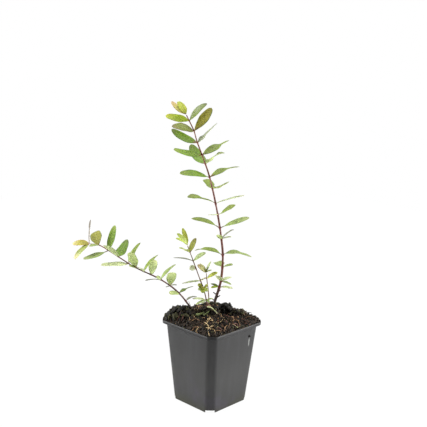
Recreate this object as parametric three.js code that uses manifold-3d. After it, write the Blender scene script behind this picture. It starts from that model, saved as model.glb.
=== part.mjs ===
// A young St John's wort in a square nursery pot.
// Millimetres, +Z up. The origin is the middle of the pot's flat underside, and the pot's
// sides lie along X and Y. The plant spreads along the pot's diagonal, so it is worked out
// in a plant frame (x right, y away from the viewer) that is turned by PLANT_TURN.

import * as THREE from 'three';
import { mergeVertices } from 'three/addons/utils/BufferGeometryUtils.js';
import Module from 'manifold-3d';

const wasm = await Module();
wasm.setup();

// Whole plant. CLEAR is the gap between neighbours, EASE widens a socket or ring a little
// more, and PAST is how far a cutting shape runs past what it cuts.
const PLANT_TURN = THREE.MathUtils.degToRad(44.2);
const CLEAR = 0.3;
const EASE = 0.05;
const PAST = 1;
const WELD = 1e-4;
const SEED = 21;

// Pot
const POT_HEIGHT = 100;
const LIP_HALF = 45;
const WALL_TOP_HALF = 41.75;
const BASE_HALF = 33.65;
const LIP_HEIGHT = 3.5;
const LIP_SLOPE = 1.9;
const POT_WALL = 1.1;
const POT_FLOOR = 1.5;
const LIP_CHAMFER = 7;
const WALL_CHAMFER = 7.5;
const CHAMFER_ROUND = 2.6;
const CHAMFER_SEGMENTS = 3;
const LIP_STEP_INSIDE = 1;
const FOOT_NOTCH_WIDTH = 11;
const FOOT_NOTCH_HEIGHT = 3.3;
const FOOT_NOTCH_INNER = 30;
const DRAIN_RADIUS = 2.8;
const DRAIN_REACH = 36;
const DRAIN_LENGTH = 20;
const DRAIN_SIDES = 16;

// Compost
const COMPOST_EDGE = POT_HEIGHT - 0.4;
const COMPOST_CROWN = 7.5;
const COMPOST_SHOULDER = 8;
const COMPOST_CELLS = 22;
const COMPOST_ROUGHNESS = 1.6;
const LUMP_EDGE = 4;
const COMPOST_LUMPS = [
  { name: 'left heap', x: -39, y: 1, radius: 17, height: 7 },
  { name: 'dark clod', x: 15, y: 14, radius: 7, height: 10 },
  { name: 'right heap', x: 31, y: 6, radius: 9, height: 4 },
  { name: 'foot of the stems', x: -4, y: 6, radius: 9, height: 1.5 },
];

// Stems: the middle line's points in the plant frame, and the radius at foot and tip
const STEM_SIDES = 10;
const STEM_STEP = 5;
const STEM_ARC_DIVISIONS = 800;
const FOOT_FLARE = 0.35;
const FLARE_LENGTH = 12;
const STEMS = {
  main: {
    line: [[-0.3, 8, 107], [4.2, 8, 125], [9.5, 6.5, 147], [11, 4.5, 175], [8.5, 3, 200],
      [2, 1, 236], [-8, -1, 276], [-22, -3, 313], [-26.5, -4, 327], [-35, -6, 344]],
    foot: 1.6,
    tip: 0.6,
  },
  left: {
    line: [[-18.5, 1, 104.5], [-39.5, -3, 133], [-62, -7, 151], [-90.5, -12, 166],
      [-111, -14, 179.4], [-131, -16, 192.4], [-142, -18, 194.7]],
    foot: 1.05,
    tip: 0.5,
  },
  middle: {
    line: [[-3.8, 3, 106], [-9, 1, 132], [-17, -3, 155.5], [-24, -6, 175], [-30.5, -9, 193]],
    foot: 0.85,
    tip: 0.45,
  },
  inner: {
    line: [[-3.2, 5.8, 106], [-4.8, 6, 131], [-7.3, 6, 149], [-8, 6, 156]],
    foot: 0.7,
    tip: 0.45,
  },
};

// Leaves. LEAF_SHAPE holds what a leaf has unless its options say otherwise. Over its length:
// wide is its breadth, shoulder where it is broadest, neck its narrow stalk, crest where its
// arch is highest and hook how far its tip bends up. A larger blunt makes a rounder end. In
// degrees: lean turns the blade's top to the viewer, twist adds to it between start and stop,
// and flick adds to it at the tip.
const LEAF_SHAPE = {
  wide: 0.33, shoulder: 0.4, blunt: 2.4, neck: 0, arch: 0.05, crest: 0.5, hook: 0,
  lean: 10, twist: 0, start: 0.35, stop: 0.75, flick: 0,
};
const LEAF_THICK = 0.55;
const LEAF_FOLD = 0.16;
const LEAF_FOOT_POWER = 0.75;
const LEAF_FLICK_START = 0.76;
const LEAF_FLICK_STOP = 0.9;
const LEAF_SKYWARD = 0.75;
const LEAF_FOLD_START = 0.125;
const LEAF_ROOT_OUT = 0.3;
const PETIOLE_HALF = 0.5;
const LEAF_STATIONS = [0, 0.07, 0.2, 0.38, 0.6, 0.8, 0.93, 1];
const LEAF_UPPER_SIDES = [2, 3];
const NODE_RING_HEIGHT = 1.7;
const NODE_RING_WALL = 0.75;
const BUD_LENGTH = 3.2;
const BUD_BULGE = 1.3;
const BUD_BULGE_AT = 0.4;
const BUD_LEAVES_AT = 0.3;

// Where the leaves stand: how far up the stem each pair is, then for each leaf its heading
// round the plant (0 right, 90 away from the viewer), its rise above level, its length and
// its options.
const LEAVES = {
  main: [
    { at: 33.5, leaves: [
      [-30, 4, 17, { lean: 13 }], [165, 12, 10, { lean: 23 }],
      [-165, -6, 9.5, { wide: 0.4, lean: 28 }]] },
    { at: 41, leaves: [
      [39, 7, 16], [-120, 48, 12, { wide: 0.8, lean: 0, blunt: 4 }], [-35, -6, 14]] },
    { at: 59, leaves: [[-52, 21, 19, { lean: 26 }], [108, -3, 24, { wide: 0.5, blunt: 3.6 }]] },
    { at: 74, leaves: [
      [-26, 4, 36, { lean: 14, arch: 0.11, twist: -24, start: 0.36, stop: 0.6, shoulder: 0.3,
        crest: 0.36, neck: 0.06 }],
      [159, 3, 35, { lean: 5, arch: 0.11, twist: -18, start: 0.68, stop: 0.84, hook: -0.03, neck: 0.08 }]] },
    { at: 94, leaves: [
      [52, 17, 24, { lean: -26, twist: 20, start: 0.75, stop: 0.9 }],
      [-118, 46, 9, { wide: 0.7, lean: 4, blunt: 4 }],
      [157, 33, 6.5, { wide: 0.6, lean: 26 }], [-14, 16, 12, { lean: 12 }]] },
    { at: 107.5, leaves: [
      [-15, 23, 37, { lean: 18, arch: 0.02, blunt: 3, crest: 0.4, neck: 0.14 }],
      [157, 13, 36.5, { lean: 5, blunt: 4, crest: 0.4, hook: -0.02, neck: 0.16 }]] },
    { at: 124, leaves: [
      [57, 11, 34, { lean: -25, arch: -0.07, twist: 19, start: 0.4, stop: 0.66, shoulder: 0.7, blunt: 4 }],
      [-112, 10.5, 28, { wide: 0.25, lean: -8, arch: 0 }]] },
    { at: 137.5, leaves: [
      [-18, 20, 36, { wide: 0.28, lean: 2, arch: 0.02, crest: 0.3 }],
      [159, 9, 35, { lean: -9, twist: 23, start: 0.5, stop: 0.74, shoulder: 0.72, blunt: 4,
        crest: 0.28, neck: 0.05 }]] },
    { at: 156, leaves: [
      [-56, 22, 34, { lean: -24, arch: -0.04, twist: 30, start: 0.2, stop: 0.42 }],
      [106, 7, 34, { wide: 0.28, shoulder: 0.22, blunt: 4 }]] },
    { at: 169.5, leaves: [
      [17, 18, 37, { lean: 15, arch: 0.06, twist: -22, stop: 0.7, hook: -0.01 }],
      [-157, 9, 36.5, { lean: 28, blunt: 3.6, neck: 0.07 }]] },
    { at: 186, leaves: [
      [-51, 28, 36, { lean: -16, twist: 31, start: 0.2, stop: 0.36, flick: -36 }],
      [124, 31, 36, { wide: 0.4, arch: -0.1 }]] },
    { at: 197, leaves: [
      [21, 26, 36, { lean: 28, arch: 0, twist: -36, start: 0.48, stop: 0.74, shoulder: 0.45 }],
      [-152, 12, 36, { lean: 32, arch: -0.04, blunt: 3.6 }]] },
    { at: 212, leaves: [
      [-27, 45, 34, { lean: -22, arch: 0, twist: 30, start: 0.22, stop: 0.42 }],
      [157, 23, 35, { wide: 0.3, lean: 36, arch: -0.07, hook: -0.01 }]] },
    { at: 226, leaves: [
      [31, 49, 33, { wide: 0.35, lean: 36, arch: -0.02, shoulder: 0.6, blunt: 2 }],
      [-142, 12, 31, { wide: 0.3, lean: 52, blunt: 2 }]] },
    { at: 239, leaves: [
      [-29, 42, 30, { wide: 0.36, lean: 48, blunt: 1.8 }], [159, 8, 29, { lean: 46, arch: 0 }]] },
    { tip: true, leaves: [
      [148, 32, 23.5, { lean: 32, arch: -0.03 }], [132, 42, 20, { wide: 0.42 }]] },
  ],
  left: [
    { at: 23, leaves: [[36, 7, 16, { lean: 0, arch: 0.12 }]] },
    { at: 36, leaves: [
      [32, 15, 20, { lean: 14, twist: -30, start: 0.28, stop: 0.55 }],
      [-129, 12, 17, { wide: 0.45, lean: 35, blunt: 4 }]] },
    { at: 50.5, leaves: [
      [84, 27, 22, { wide: 0.53, shoulder: 0.5, blunt: 3 }], [-35, 14, 10, { wide: 0.25 }],
      [-140, -4, 6]] },
    { at: 64, leaves: [
      [46, 30, 27.5, { lean: -8 }], [-140, 8, 22, { lean: -4 }],
      [-165, 35, 7, { wide: 0.7, lean: 50 }]] },
    { at: 78, leaves: [[-56, 55, 24, { wide: 0.46, lean: 85, blunt: 3.5 }]] },
    { at: 86.5, leaves: [[56, 28, 30, { lean: -14 }], [-110, 28, 22, { lean: 28 }]] },
    { at: 97.5, leaves: [
      [-112, 56, 26, { wide: 0.4, blunt: 3 }], [-150, 22, 9, { wide: 0.45, lean: 40 }]] },
    { at: 107, leaves: [[65, 36, 32, { lean: -14 }], [-151, 3.5, 34, { lean: 16, arch: 0 }]] },
    { at: 121.5, leaves: [
      [73, 28, 30, { wide: 0.42, lean: 20, arch: -0.02, shoulder: 0.24, blunt: 1.4 }],
      [-133, 38, 28, { lean: -8 }]] },
    { at: 135, leaves: [
      [78, 48, 33, { wide: 0.28, arch: 0, blunt: 2 }],
      [-145, -11, 32, { lean: 15, arch: -0.02, blunt: 3, neck: 0.15 }]] },
    { at: 148, leaves: [
      [108, 20, 27, { wide: 0.52, shoulder: 0.5, blunt: 2.6 }],
      [-135, 2, 13, { wide: 0.5, lean: 20 }]] },
    { tip: true, leaves: [
      [165, -6, 21.5, { wide: 0.36, lean: 36, blunt: 2.8 }],
      [-150, -42, 25, { lean: 20, blunt: 3.4 }], [92, 58, 29, { wide: 0.16, lean: 80, neck: 0.55 }]] },
  ],
  middle: [
    { at: 18.5, leaves: [
      [-177, 5, 16], [-150, -16, 14], [-125, -12, 9, { lean: 20 }], [-60, -8, 8, { lean: 20 }],
      [20, 5, 8, { lean: 20 }]] },
    { at: 34, leaves: [
      [-125, 40, 9, { wide: 0.8, blunt: 4 }], [-40, 38, 8, { wide: 0.8, lean: 40 }],
      [165, 38, 8, { wide: 0.7, lean: 40 }], [-95, -30, 7, { wide: 0.9 }],
      [-35, -20, 6.5, { wide: 0.8, lean: 30 }], [178, -15, 6, { wide: 0.8, lean: 40 }]] },
    { at: 45, leaves: [
      [176, -12, 22, { lean: 6, arch: 0, twist: -10, start: 0.2, stop: 0.4 }], [-61, 28, 14]] },
    { at: 61.5, leaves: [[176, 5, 7.5, { wide: 0.85, lean: 65, blunt: 4 }]] },
    { at: 72, leaves: [
      [165, 3, 24, { lean: -12, arch: 0.04 }], [-25, 36, 19.5, { wide: 0.36, lean: 42 }]] },
    { at: 83.5, leaves: [
      [-131, 25, 20, { lean: -18, twist: 32, stop: 0.55 }], [66, 43, 20, { blunt: 2 }]] },
    { tip: true, leaves: [
      [-143, 31, 19, { lean: 28 }], [120, 54, 21.5, { wide: 0.26, blunt: 2 }],
      [177, 47, 18, { wide: 0.36, lean: 35 }]] },
  ],
  inner: [
    { at: 44, leaves: [[-22, 33, 16, { wide: 0.4, lean: 38 }], [121, -27, 12]] },
    { tip: true, leaves: [
      [-160, 40, 15, { wide: 0.5, lean: 55 }], [150, 46, 13], [37, 62, 14, { wide: 0.25 }],
      [-38, 28, 9, { lean: 30 }]] },
  ],
};

// Colours, roughness and metalness
const LOOKS = {
  pot: new THREE.MeshStandardMaterial({ color: 0x56585a, roughness: 0.55, metalness: 0 }),
  compost: new THREE.MeshStandardMaterial({ color: 0x2a1d16, roughness: 1, metalness: 0 }),
  stem: new THREE.MeshStandardMaterial({ color: 0x6b3a2c, roughness: 0.75, metalness: 0 }),
  leaf: new THREE.MeshStandardMaterial({ color: 0x7f9f4a, roughness: 0.6, metalness: 0 }),
};

// Repeatable numbers from 0 to 1.
function seeded(seed) {
  let state = seed;
  return () => {
    state = (state * 1664525 + 1013904223) % 4294967296;
    return state / 4294967296;
  };
}

// Between a geometry and a solid that can be joined and cut.
function toSolid(geometry) {
  const bare = geometry.clone();
  bare.deleteAttribute('normal');
  bare.deleteAttribute('uv');
  const merged = mergeVertices(bare, WELD);
  return new wasm.Manifold(new wasm.Mesh({
    numProp: 3,
    vertProperties: new Float32Array(merged.attributes.position.array),
    triVerts: new Uint32Array(merged.index.array),
  }));
}

function toGeometry(solid) {
  const mesh = solid.getMesh();
  const geometry = new THREE.BufferGeometry();
  geometry.setAttribute('position', new THREE.BufferAttribute(mesh.vertProperties, 3));
  geometry.setIndex(new THREE.BufferAttribute(mesh.triVerts, 1));
  return geometry;
}

// A closed skin over a row of rings, each a list of points. The first and the last ring may
// be a single point. A ring of several points at an end is closed by a cap. Each patch between
// two rings is split across one diagonal, and across the other one on the swapped sides.
function loft(rings, swapped = []) {
  const positions = [];
  const triangles = [];
  const starts = rings.map((ring) => {
    const start = positions.length / 3;
    ring.forEach((p) => positions.push(p.x, p.y, p.z));
    return start;
  });
  for (let k = 0; k < rings.length - 1; k += 1) {
    const [a, b] = [starts[k], starts[k + 1]];
    const [m, n] = [rings[k].length, rings[k + 1].length];
    const sides = Math.max(m, n);
    for (let i = 0; i < sides; i += 1) {
      const j = (i + 1) % sides;
      const [from, to] = swapped.includes(i) ? [j, i] : [i, j];
      if (m > 1) triangles.push(a + i, a + j, b + (n > 1 ? to : 0));
      if (n > 1) triangles.push(a + (m > 1 ? from : 0), b + j, b + i);
    }
  }
  const last = rings.length - 1;
  for (let i = 1; i < rings[0].length - 1; i += 1) {
    triangles.push(starts[0], starts[0] + i + 1, starts[0] + i);
  }
  for (let i = 1; i < rings[last].length - 1; i += 1) {
    triangles.push(starts[last], starts[last] + i, starts[last] + i + 1);
  }
  const geometry = new THREE.BufferGeometry();
  geometry.setAttribute('position', new THREE.Float32BufferAttribute(positions, 3));
  geometry.setIndex(triangles);
  return geometry;
}

// A ring of points round a centre, across a direction.
function ringOf(centre, across, up, radius, sides) {
  const points = [];
  for (let i = 0; i < sides; i += 1) {
    const angle = (2 * Math.PI * i) / sides;
    points.push(centre.clone()
      .addScaledVector(across, radius * Math.cos(angle))
      .addScaledVector(up, radius * Math.sin(angle)));
  }
  return points;
}

// A square outline with chamfered corners, each chamfer's edges softened.
function squareOutline(half, chamfer) {
  const corners = [];
  for (let quarter = 0; quarter < 4; quarter += 1) {
    const turn = (quarter * Math.PI) / 2;
    corners.push(new THREE.Vector2(half, half - chamfer).rotateAround(new THREE.Vector2(), turn));
    corners.push(new THREE.Vector2(half - chamfer, half).rotateAround(new THREE.Vector2(), turn));
  }
  const shape = new THREE.Shape();
  corners.forEach((corner, i) => {
    const before = corners[(i + 7) % 8];
    const after = corners[(i + 1) % 8];
    const enter = corner.clone().add(before.clone().sub(corner).setLength(CHAMFER_ROUND));
    const leave = corner.clone().add(after.clone().sub(corner).setLength(CHAMFER_ROUND));
    if (i === 0) shape.moveTo(enter.x, enter.y);
    else shape.lineTo(enter.x, enter.y);
    shape.quadraticCurveTo(corner.x, corner.y, leave.x, leave.y);
  });
  shape.closePath();
  return shape;
}

// A moulded square form: profile is a list of [height, half breadth, chamfer] from the
// bottom up.
function moulded(profile) {
  return toSolid(loft(profile.map(([height, half, chamfer]) => {
    const ring = squareOutline(half, chamfer).getPoints(CHAMFER_SEGMENTS);
    return ring.slice(0, -1).map((p) => new THREE.Vector3(p.x, p.y, height));
  })));
}

// The pot's half breadth outside at a height, below the lip.
function wallHalf(height) {
  const top = POT_HEIGHT - LIP_HEIGHT;
  return BASE_HALF + ((WALL_TOP_HALF - BASE_HALF) * height) / top;
}

// The room inside the pot, kept clear of its wall and floor by a gap.
function potRoom(gap, top) {
  const ledge = POT_HEIGHT - LIP_HEIGHT;
  const off = POT_WALL + gap;
  const floor = POT_FLOOR + gap;
  const less = off * (2 - Math.SQRT2);
  return moulded([
    [floor, wallHalf(floor) - off, WALL_CHAMFER - less],
    [ledge + gap, wallHalf(ledge) - off, WALL_CHAMFER - less],
    [ledge + LIP_STEP_INSIDE + gap, LIP_HALF - off, LIP_CHAMFER - less],
    [top, LIP_HALF - off, LIP_CHAMFER - less],
  ]);
}

// A box that lies along a pot diagonal, from a reach outwards.
function diagonalBox(quarter, inner, width, bottom, top) {
  const outer = 2 * LIP_HALF;
  const box = new THREE.BoxGeometry(outer - inner, width, top - bottom);
  box.translate((outer + inner) / 2, 0, (top + bottom) / 2);
  box.rotateZ(Math.PI / 4 + (quarter * Math.PI) / 2);
  return toSolid(box);
}

// The pot: tapered walls, a lip that stands out, and four raised corners with drain holes.
function makePot() {
  const ledge = POT_HEIGHT - LIP_HEIGHT;
  const outside = moulded([
    [0, BASE_HALF, WALL_CHAMFER],
    [ledge - LIP_SLOPE, wallHalf(ledge - LIP_SLOPE), WALL_CHAMFER],
    [ledge, LIP_HALF, LIP_CHAMFER],
    [POT_HEIGHT, LIP_HALF, LIP_CHAMFER],
  ]);
  let pot = outside.subtract(potRoom(0, POT_HEIGHT + PAST));
  for (let quarter = 0; quarter < 4; quarter += 1) {
    const cover = diagonalBox(quarter, FOOT_NOTCH_INNER - POT_WALL,
      FOOT_NOTCH_WIDTH + 2 * POT_WALL, 0, FOOT_NOTCH_HEIGHT + POT_FLOOR);
    const notch = diagonalBox(quarter, FOOT_NOTCH_INNER, FOOT_NOTCH_WIDTH, -PAST, FOOT_NOTCH_HEIGHT);
    const drain = new THREE.CylinderGeometry(DRAIN_RADIUS, DRAIN_RADIUS, DRAIN_LENGTH, DRAIN_SIDES);
    drain.rotateX(Math.PI / 2);
    drain.translate(DRAIN_REACH, 0, 0);
    drain.rotateZ(Math.PI / 4 + (quarter * Math.PI) / 2);
    pot = pot.add(cover.intersect(outside)).subtract(notch).subtract(toSolid(drain));
  }
  return pot;
}

// The height of the compost at a place in the pot's frame.
function compostHeight(x, y, random) {
  const half = LIP_HALF - POT_WALL;
  const towardEdge = Math.max(Math.abs(x), Math.abs(y),
    (Math.abs(x) + Math.abs(y)) * (half / (2 * half - LIP_CHAMFER))) / half;
  const inside = 1 - Math.min(1, towardEdge) ** COMPOST_SHOULDER;
  const place = new THREE.Vector2(x, y).rotateAround(new THREE.Vector2(), -PLANT_TURN);
  let height = COMPOST_CROWN + COMPOST_ROUGHNESS * (random() - 0.5);
  COMPOST_LUMPS.forEach((lump) => {
    const away = Math.hypot(place.x - lump.x, place.y - lump.y) / lump.radius;
    height += lump.height * Math.exp(-(away ** LUMP_EDGE));
  });
  return COMPOST_EDGE + inside * height;
}

// The compost: it fills the pot and is heaped above its lip.
function makeCompost() {
  const random = seeded(SEED);
  const half = LIP_HALF - POT_WALL - CLEAR;
  const block = new THREE.BoxGeometry(2 * half + PAST, 2 * half + PAST, POT_HEIGHT,
    COMPOST_CELLS, COMPOST_CELLS, 1);
  const heights = new Map();
  const position = block.attributes.position;
  for (let i = 0; i < position.count; i += 1) {
    const [x, y] = [position.getX(i), position.getY(i)];
    const key = `${x.toFixed(3)},${y.toFixed(3)}`;
    if (position.getZ(i) < 0) {
      position.setZ(i, -PAST);
    } else {
      if (!heights.has(key)) heights.set(key, compostHeight(x, y, random));
      position.setZ(i, heights.get(key));
    }
  }
  let compost = toSolid(block).intersect(potRoom(CLEAR, 2 * POT_HEIGHT));
  for (let quarter = 0; quarter < 4; quarter += 1) {
    compost = compost.subtract(diagonalBox(quarter, FOOT_NOTCH_INNER - POT_WALL - CLEAR,
      FOOT_NOTCH_WIDTH + 2 * (POT_WALL + CLEAR), 0, FOOT_NOTCH_HEIGHT + POT_FLOOR + CLEAR));
  }
  return compost;
}

// A stem: its middle line, its radius along it and its rings.
class Stem {
  constructor({ line, foot, tip }) {
    const points = line.map((p) => new THREE.Vector3(...p));
    this.curve = new THREE.CatmullRomCurve3(points, false, 'catmullrom', 0.5);
    this.curve.arcLengthDivisions = STEM_ARC_DIVISIONS;
    this.length = this.curve.getLength();
    this.foot = foot;
    this.tip = tip;
  }

  // The radius at a distance up the stem: an even taper that flares at the foot.
  radius(distance) {
    const flare = FOOT_FLARE * this.foot * Math.max(0, 1 - distance / FLARE_LENGTH) ** 2;
    return this.foot + ((this.tip - this.foot) * distance) / this.length + flare;
  }

  point(distance) {
    return this.curve.getPointAt(THREE.MathUtils.clamp(distance / this.length, 0, 1));
  }

  direction(distance) {
    return this.curve.getTangentAt(THREE.MathUtils.clamp(distance / this.length, 0, 1));
  }

  // The stem as a solid with its foot cut level. A gap makes it thicker all round and lower
  // at the foot, for its socket.
  solid(gap = 0) {
    const steps = Math.round(this.length / STEM_STEP);
    const frames = this.curve.computeFrenetFrames(steps, false);
    const rings = [];
    for (let k = 0; k <= steps; k += 1) {
      const distance = (k * this.length) / steps;
      rings.push(ringOf(this.point(distance), frames.normals[k], frames.binormals[k],
        this.radius(distance) + gap, STEM_SIDES));
    }
    const upStem = this.direction(0);
    const ground = this.point(0).z - gap;
    rings[0] = rings[0].map((p) => p.addScaledVector(upStem, (ground - p.z) / upStem.z));
    return toSolid(loft(rings));
  }
}

// How broad a leaf is at a share of its length, from 0 to 1: a narrow foot, long sides
// that are nearly even, and a blunt end.
function leafBreadth(share, { neck, shoulder, blunt }) {
  const blade = Math.max(0, (share - neck) / (1 - neck));
  if (blade < shoulder) return Math.sin((Math.PI / 2) * (blade / shoulder)) ** LEAF_FOOT_POWER;
  const beyond = (blade - shoulder) / (1 - shoulder);
  return Math.sqrt(Math.max(0, 1 - beyond ** blunt));
}

// The direction of a heading round the plant and a rise above level, both in degrees.
function pointing(heading, rise) {
  const [azimuth, climb] = [heading, rise].map(THREE.MathUtils.degToRad);
  return new THREE.Vector3(
    Math.cos(climb) * Math.cos(azimuth),
    Math.cos(climb) * Math.sin(azimuth),
    Math.sin(climb),
  );
}

// One leaf as a closed blade that starts at a root point and runs along a direction. Its
// section has two thin edges, raised by the fold, and a midrib's thickness in the middle. Its
// upper side is split as its lower side is, so that the two stay apart where the leaf twists.
function leafBlade(root, along, length, upward, options) {
  const shape = { ...LEAF_SHAPE, ...options };
  const { smoothstep, degToRad } = THREE.MathUtils;
  const normal = upward.clone().addScaledVector(along, -upward.dot(along)).normalize();
  const half = (length * shape.wide) / 2;
  const rings = LEAF_STATIONS.map((share) => {
    const climb = share ** (Math.log(0.5) / Math.log(shape.crest));
    const lift = 4 * shape.arch * climb * (1 - climb) + shape.hook * share ** 3;
    const middle = root.clone().addScaledVector(along, length * share)
      .addScaledVector(normal, length * lift);
    if (share === 1) return [middle];
    const turn = shape.lean + shape.twist * smoothstep(share, shape.start, shape.stop)
      + shape.flick * smoothstep(share, LEAF_FLICK_START, LEAF_FLICK_STOP);
    const top = normal.clone().applyAxisAngle(along, degToRad(turn) * Math.sign(along.x || 1));
    const side = top.clone().cross(along);
    const breadth = Math.max(half * leafBreadth(share, shape), PETIOLE_HALF);
    const fold = LEAF_FOLD * breadth * Math.min(1, share / LEAF_FOLD_START);
    const thick = LEAF_THICK / 2;
    return [
      middle.clone().addScaledVector(side, -breadth).addScaledVector(top, fold),
      middle.clone().addScaledVector(top, -thick),
      middle.clone().addScaledVector(side, breadth).addScaledVector(top, fold),
      middle.clone().addScaledVector(top, thick),
    ];
  });
  return toSolid(loft(rings, LEAF_UPPER_SIDES));
}

// The ridge round a stem that joins the feet of a leaf pair, clear of the stem.
function nodeRing(stem, at) {
  const direction = stem.direction(at);
  const across = new THREE.Vector3(0, 1, 0).cross(direction).normalize();
  const up = direction.clone().cross(across);
  const inner = stem.radius(at) + CLEAR + EASE;
  const tube = (radius, half) => toSolid(loft([-half, half].map((offset) => ringOf(
    stem.point(at).addScaledVector(direction, offset), across, up, radius, STEM_SIDES))));
  return tube(inner + NODE_RING_WALL, NODE_RING_HEIGHT / 2).subtract(tube(inner, NODE_RING_HEIGHT));
}

// The bud that carries on from a stem's tip, clear of it.
function tipBud(stem) {
  const direction = stem.direction(stem.length);
  const across = new THREE.Vector3(0, 1, 0).cross(direction).normalize();
  const up = direction.clone().cross(across);
  const end = stem.point(stem.length);
  const place = (offset) => end.clone().addScaledVector(direction, CLEAR + offset);
  return toSolid(loft([
    ringOf(place(0), across, up, stem.tip, STEM_SIDES),
    ringOf(place(BUD_BULGE_AT * BUD_LENGTH), across, up, stem.tip * BUD_BULGE, STEM_SIDES),
    [place(BUD_LENGTH)],
  ]));
}

// The leaves at one place on a stem, fused to their ring or bud.
function leafCluster(stem, spec) {
  const at = spec.tip ? stem.length : spec.at;
  const direction = stem.direction(at);
  const middle = stem.point(at);
  let cluster = spec.tip ? tipBud(stem) : nodeRing(stem, at);
  if (spec.tip) middle.addScaledVector(direction, CLEAR + BUD_LEAVES_AT * BUD_LENGTH);
  const reach = spec.tip ? 0 : stem.radius(at) + CLEAR + LEAF_ROOT_OUT;
  const upward = direction.clone().lerp(new THREE.Vector3(0, 0, 1), LEAF_SKYWARD).normalize();
  spec.leaves.forEach(([heading, rise, length, options = {}]) => {
    const along = pointing(heading, rise);
    const outward = along.clone().addScaledVector(direction, -along.dot(direction)).normalize();
    const root = middle.clone().addScaledVector(outward, reach);
    cluster = cluster.add(leafBlade(root, along, length, upward, options));
  });
  return cluster;
}

function named(name, solid, look) {
  const mesh = new THREE.Mesh(toGeometry(solid), look);
  mesh.name = name;
  return mesh;
}

const group = new THREE.Group();
const plant = new THREE.Group();
plant.rotation.z = PLANT_TURN;
group.add(plant);

let compost = makeCompost();
Object.entries(STEMS).forEach(([name, sizes]) => {
  const stem = new Stem(sizes);
  plant.add(named(`${name}_stem`, stem.solid(), LOOKS.stem));
  const socket = stem.solid(CLEAR + EASE).rotate([0, 0, THREE.MathUtils.radToDeg(PLANT_TURN)]);
  compost = compost.subtract(socket);
  LEAVES[name].forEach((spec, i) => {
    const label = spec.tip ? `${name}_tip_leaves` : `${name}_leaves_${String(i + 1).padStart(2, '0')}`;
    plant.add(named(label, leafCluster(stem, spec), LOOKS.leaf));
  });
});
group.add(named('pot', makePot(), LOOKS.pot));
group.add(named('compost', compost, LOOKS.compost));

export default group;
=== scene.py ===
"""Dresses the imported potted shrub: its square nursery pot, the compost, the stems and the leaves.

Sizes are millimetres. The plant's own frame has X across the view, Y away from it and Z up, with its
origin under the middle of the pot, and PlantFrame turns it into the part's frame in metres.
"""

import logging
import math
from dataclasses import dataclass, field
from enum import Enum
from typing import Any

import bpy
import numpy as np
from mathutils import Matrix, Vector

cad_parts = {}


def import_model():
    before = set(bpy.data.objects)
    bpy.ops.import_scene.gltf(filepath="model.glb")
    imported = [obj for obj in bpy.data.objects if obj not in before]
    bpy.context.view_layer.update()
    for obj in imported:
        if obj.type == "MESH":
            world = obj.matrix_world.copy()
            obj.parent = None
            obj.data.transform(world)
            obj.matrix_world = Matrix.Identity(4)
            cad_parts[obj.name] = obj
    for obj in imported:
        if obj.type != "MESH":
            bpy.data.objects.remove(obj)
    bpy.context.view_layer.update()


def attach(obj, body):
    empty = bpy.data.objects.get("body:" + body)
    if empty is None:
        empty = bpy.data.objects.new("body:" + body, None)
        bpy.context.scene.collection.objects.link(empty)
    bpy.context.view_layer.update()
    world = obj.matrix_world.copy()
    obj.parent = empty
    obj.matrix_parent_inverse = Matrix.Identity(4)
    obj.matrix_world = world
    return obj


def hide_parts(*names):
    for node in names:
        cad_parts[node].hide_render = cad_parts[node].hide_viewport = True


LOG = logging.getLogger("potted_shrub")
MM = 0.001

Array = np.ndarray
Colour = tuple[float, float, float]
Place = tuple[float, float, float]
Socket = bpy.types.NodeSocket


def paint(colour: Colour) -> tuple[float, float, float, float]:
    """Turn a colour of 0 to 255, as it looks on a screen, into linear values.

    Args:
        colour: Red, green and blue.

    Returns:
        Linear red, green, blue and an alpha of 1.
    """
    shares = np.asarray(colour, float) / 255
    linear = np.where(shares <= 0.04045, shares / 12.92, ((shares + 0.055) / 1.055) ** 2.4)
    return (float(linear[0]), float(linear[1]), float(linear[2]), 1.0)


def unit(vectors: Array) -> Array:
    """Scale each vector to a length of one."""
    return vectors / np.linalg.norm(vectors, axis=-1, keepdims=True)


def smooth(values: Array, low: float, high: float) -> Array:
    """Rise from 0 at low to 1 at high, as 3w squared less 2w cubed."""
    share = np.clip((values - low) / (high - low), 0.0, 1.0)
    return share * share * (3 - 2 * share)


def circle(count: int) -> Array:
    """Give the angles of evenly spaced points round a circle."""
    return np.arange(count) * 2 * math.pi / count


def polar(turns: Array, out: Array) -> Array:
    """Give places in a plane by their angles and distances."""
    return np.stack([np.cos(turns) * out, np.sin(turns) * out], axis=-1)


def raised(plan: Array, height: Array | float) -> Array:
    """Give places in a plane a height, one for all or one for each."""
    return np.concatenate([plan, np.broadcast_to(height, plan.shape[:-1])[..., None]], axis=-1)


def placed(name: str, data: Any) -> bpy.types.Object:
    """Make an object from its data and link it to the scene."""
    made = bpy.data.objects.new(name, data)
    bpy.context.scene.collection.objects.link(made)
    return made


@dataclass(frozen=True)
class PlantFrame:
    """The plant's frame, turned about the upright axis against the part's."""

    turn: float = math.radians(44.2)

    def to_part(self, points: Array) -> Array:
        """Turn points about the upright axis into the part's frame, in millimetres.

        Args:
            points: Places in the plant's frame, three numbers in the last axis.

        Returns:
            The same places in the part's frame.
        """
        c, s = math.cos(self.turn), math.sin(self.turn)
        x, y, z = points[..., 0], points[..., 1], points[..., 2]
        return np.stack([c * x - s * y, s * x + c * y, z], axis=-1)

    def to_plant(self, points: Array) -> Array:
        """Turn points of the part's frame into the plant's frame."""
        return PlantFrame(-self.turn).to_part(points)


PLANT = PlantFrame()


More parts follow.
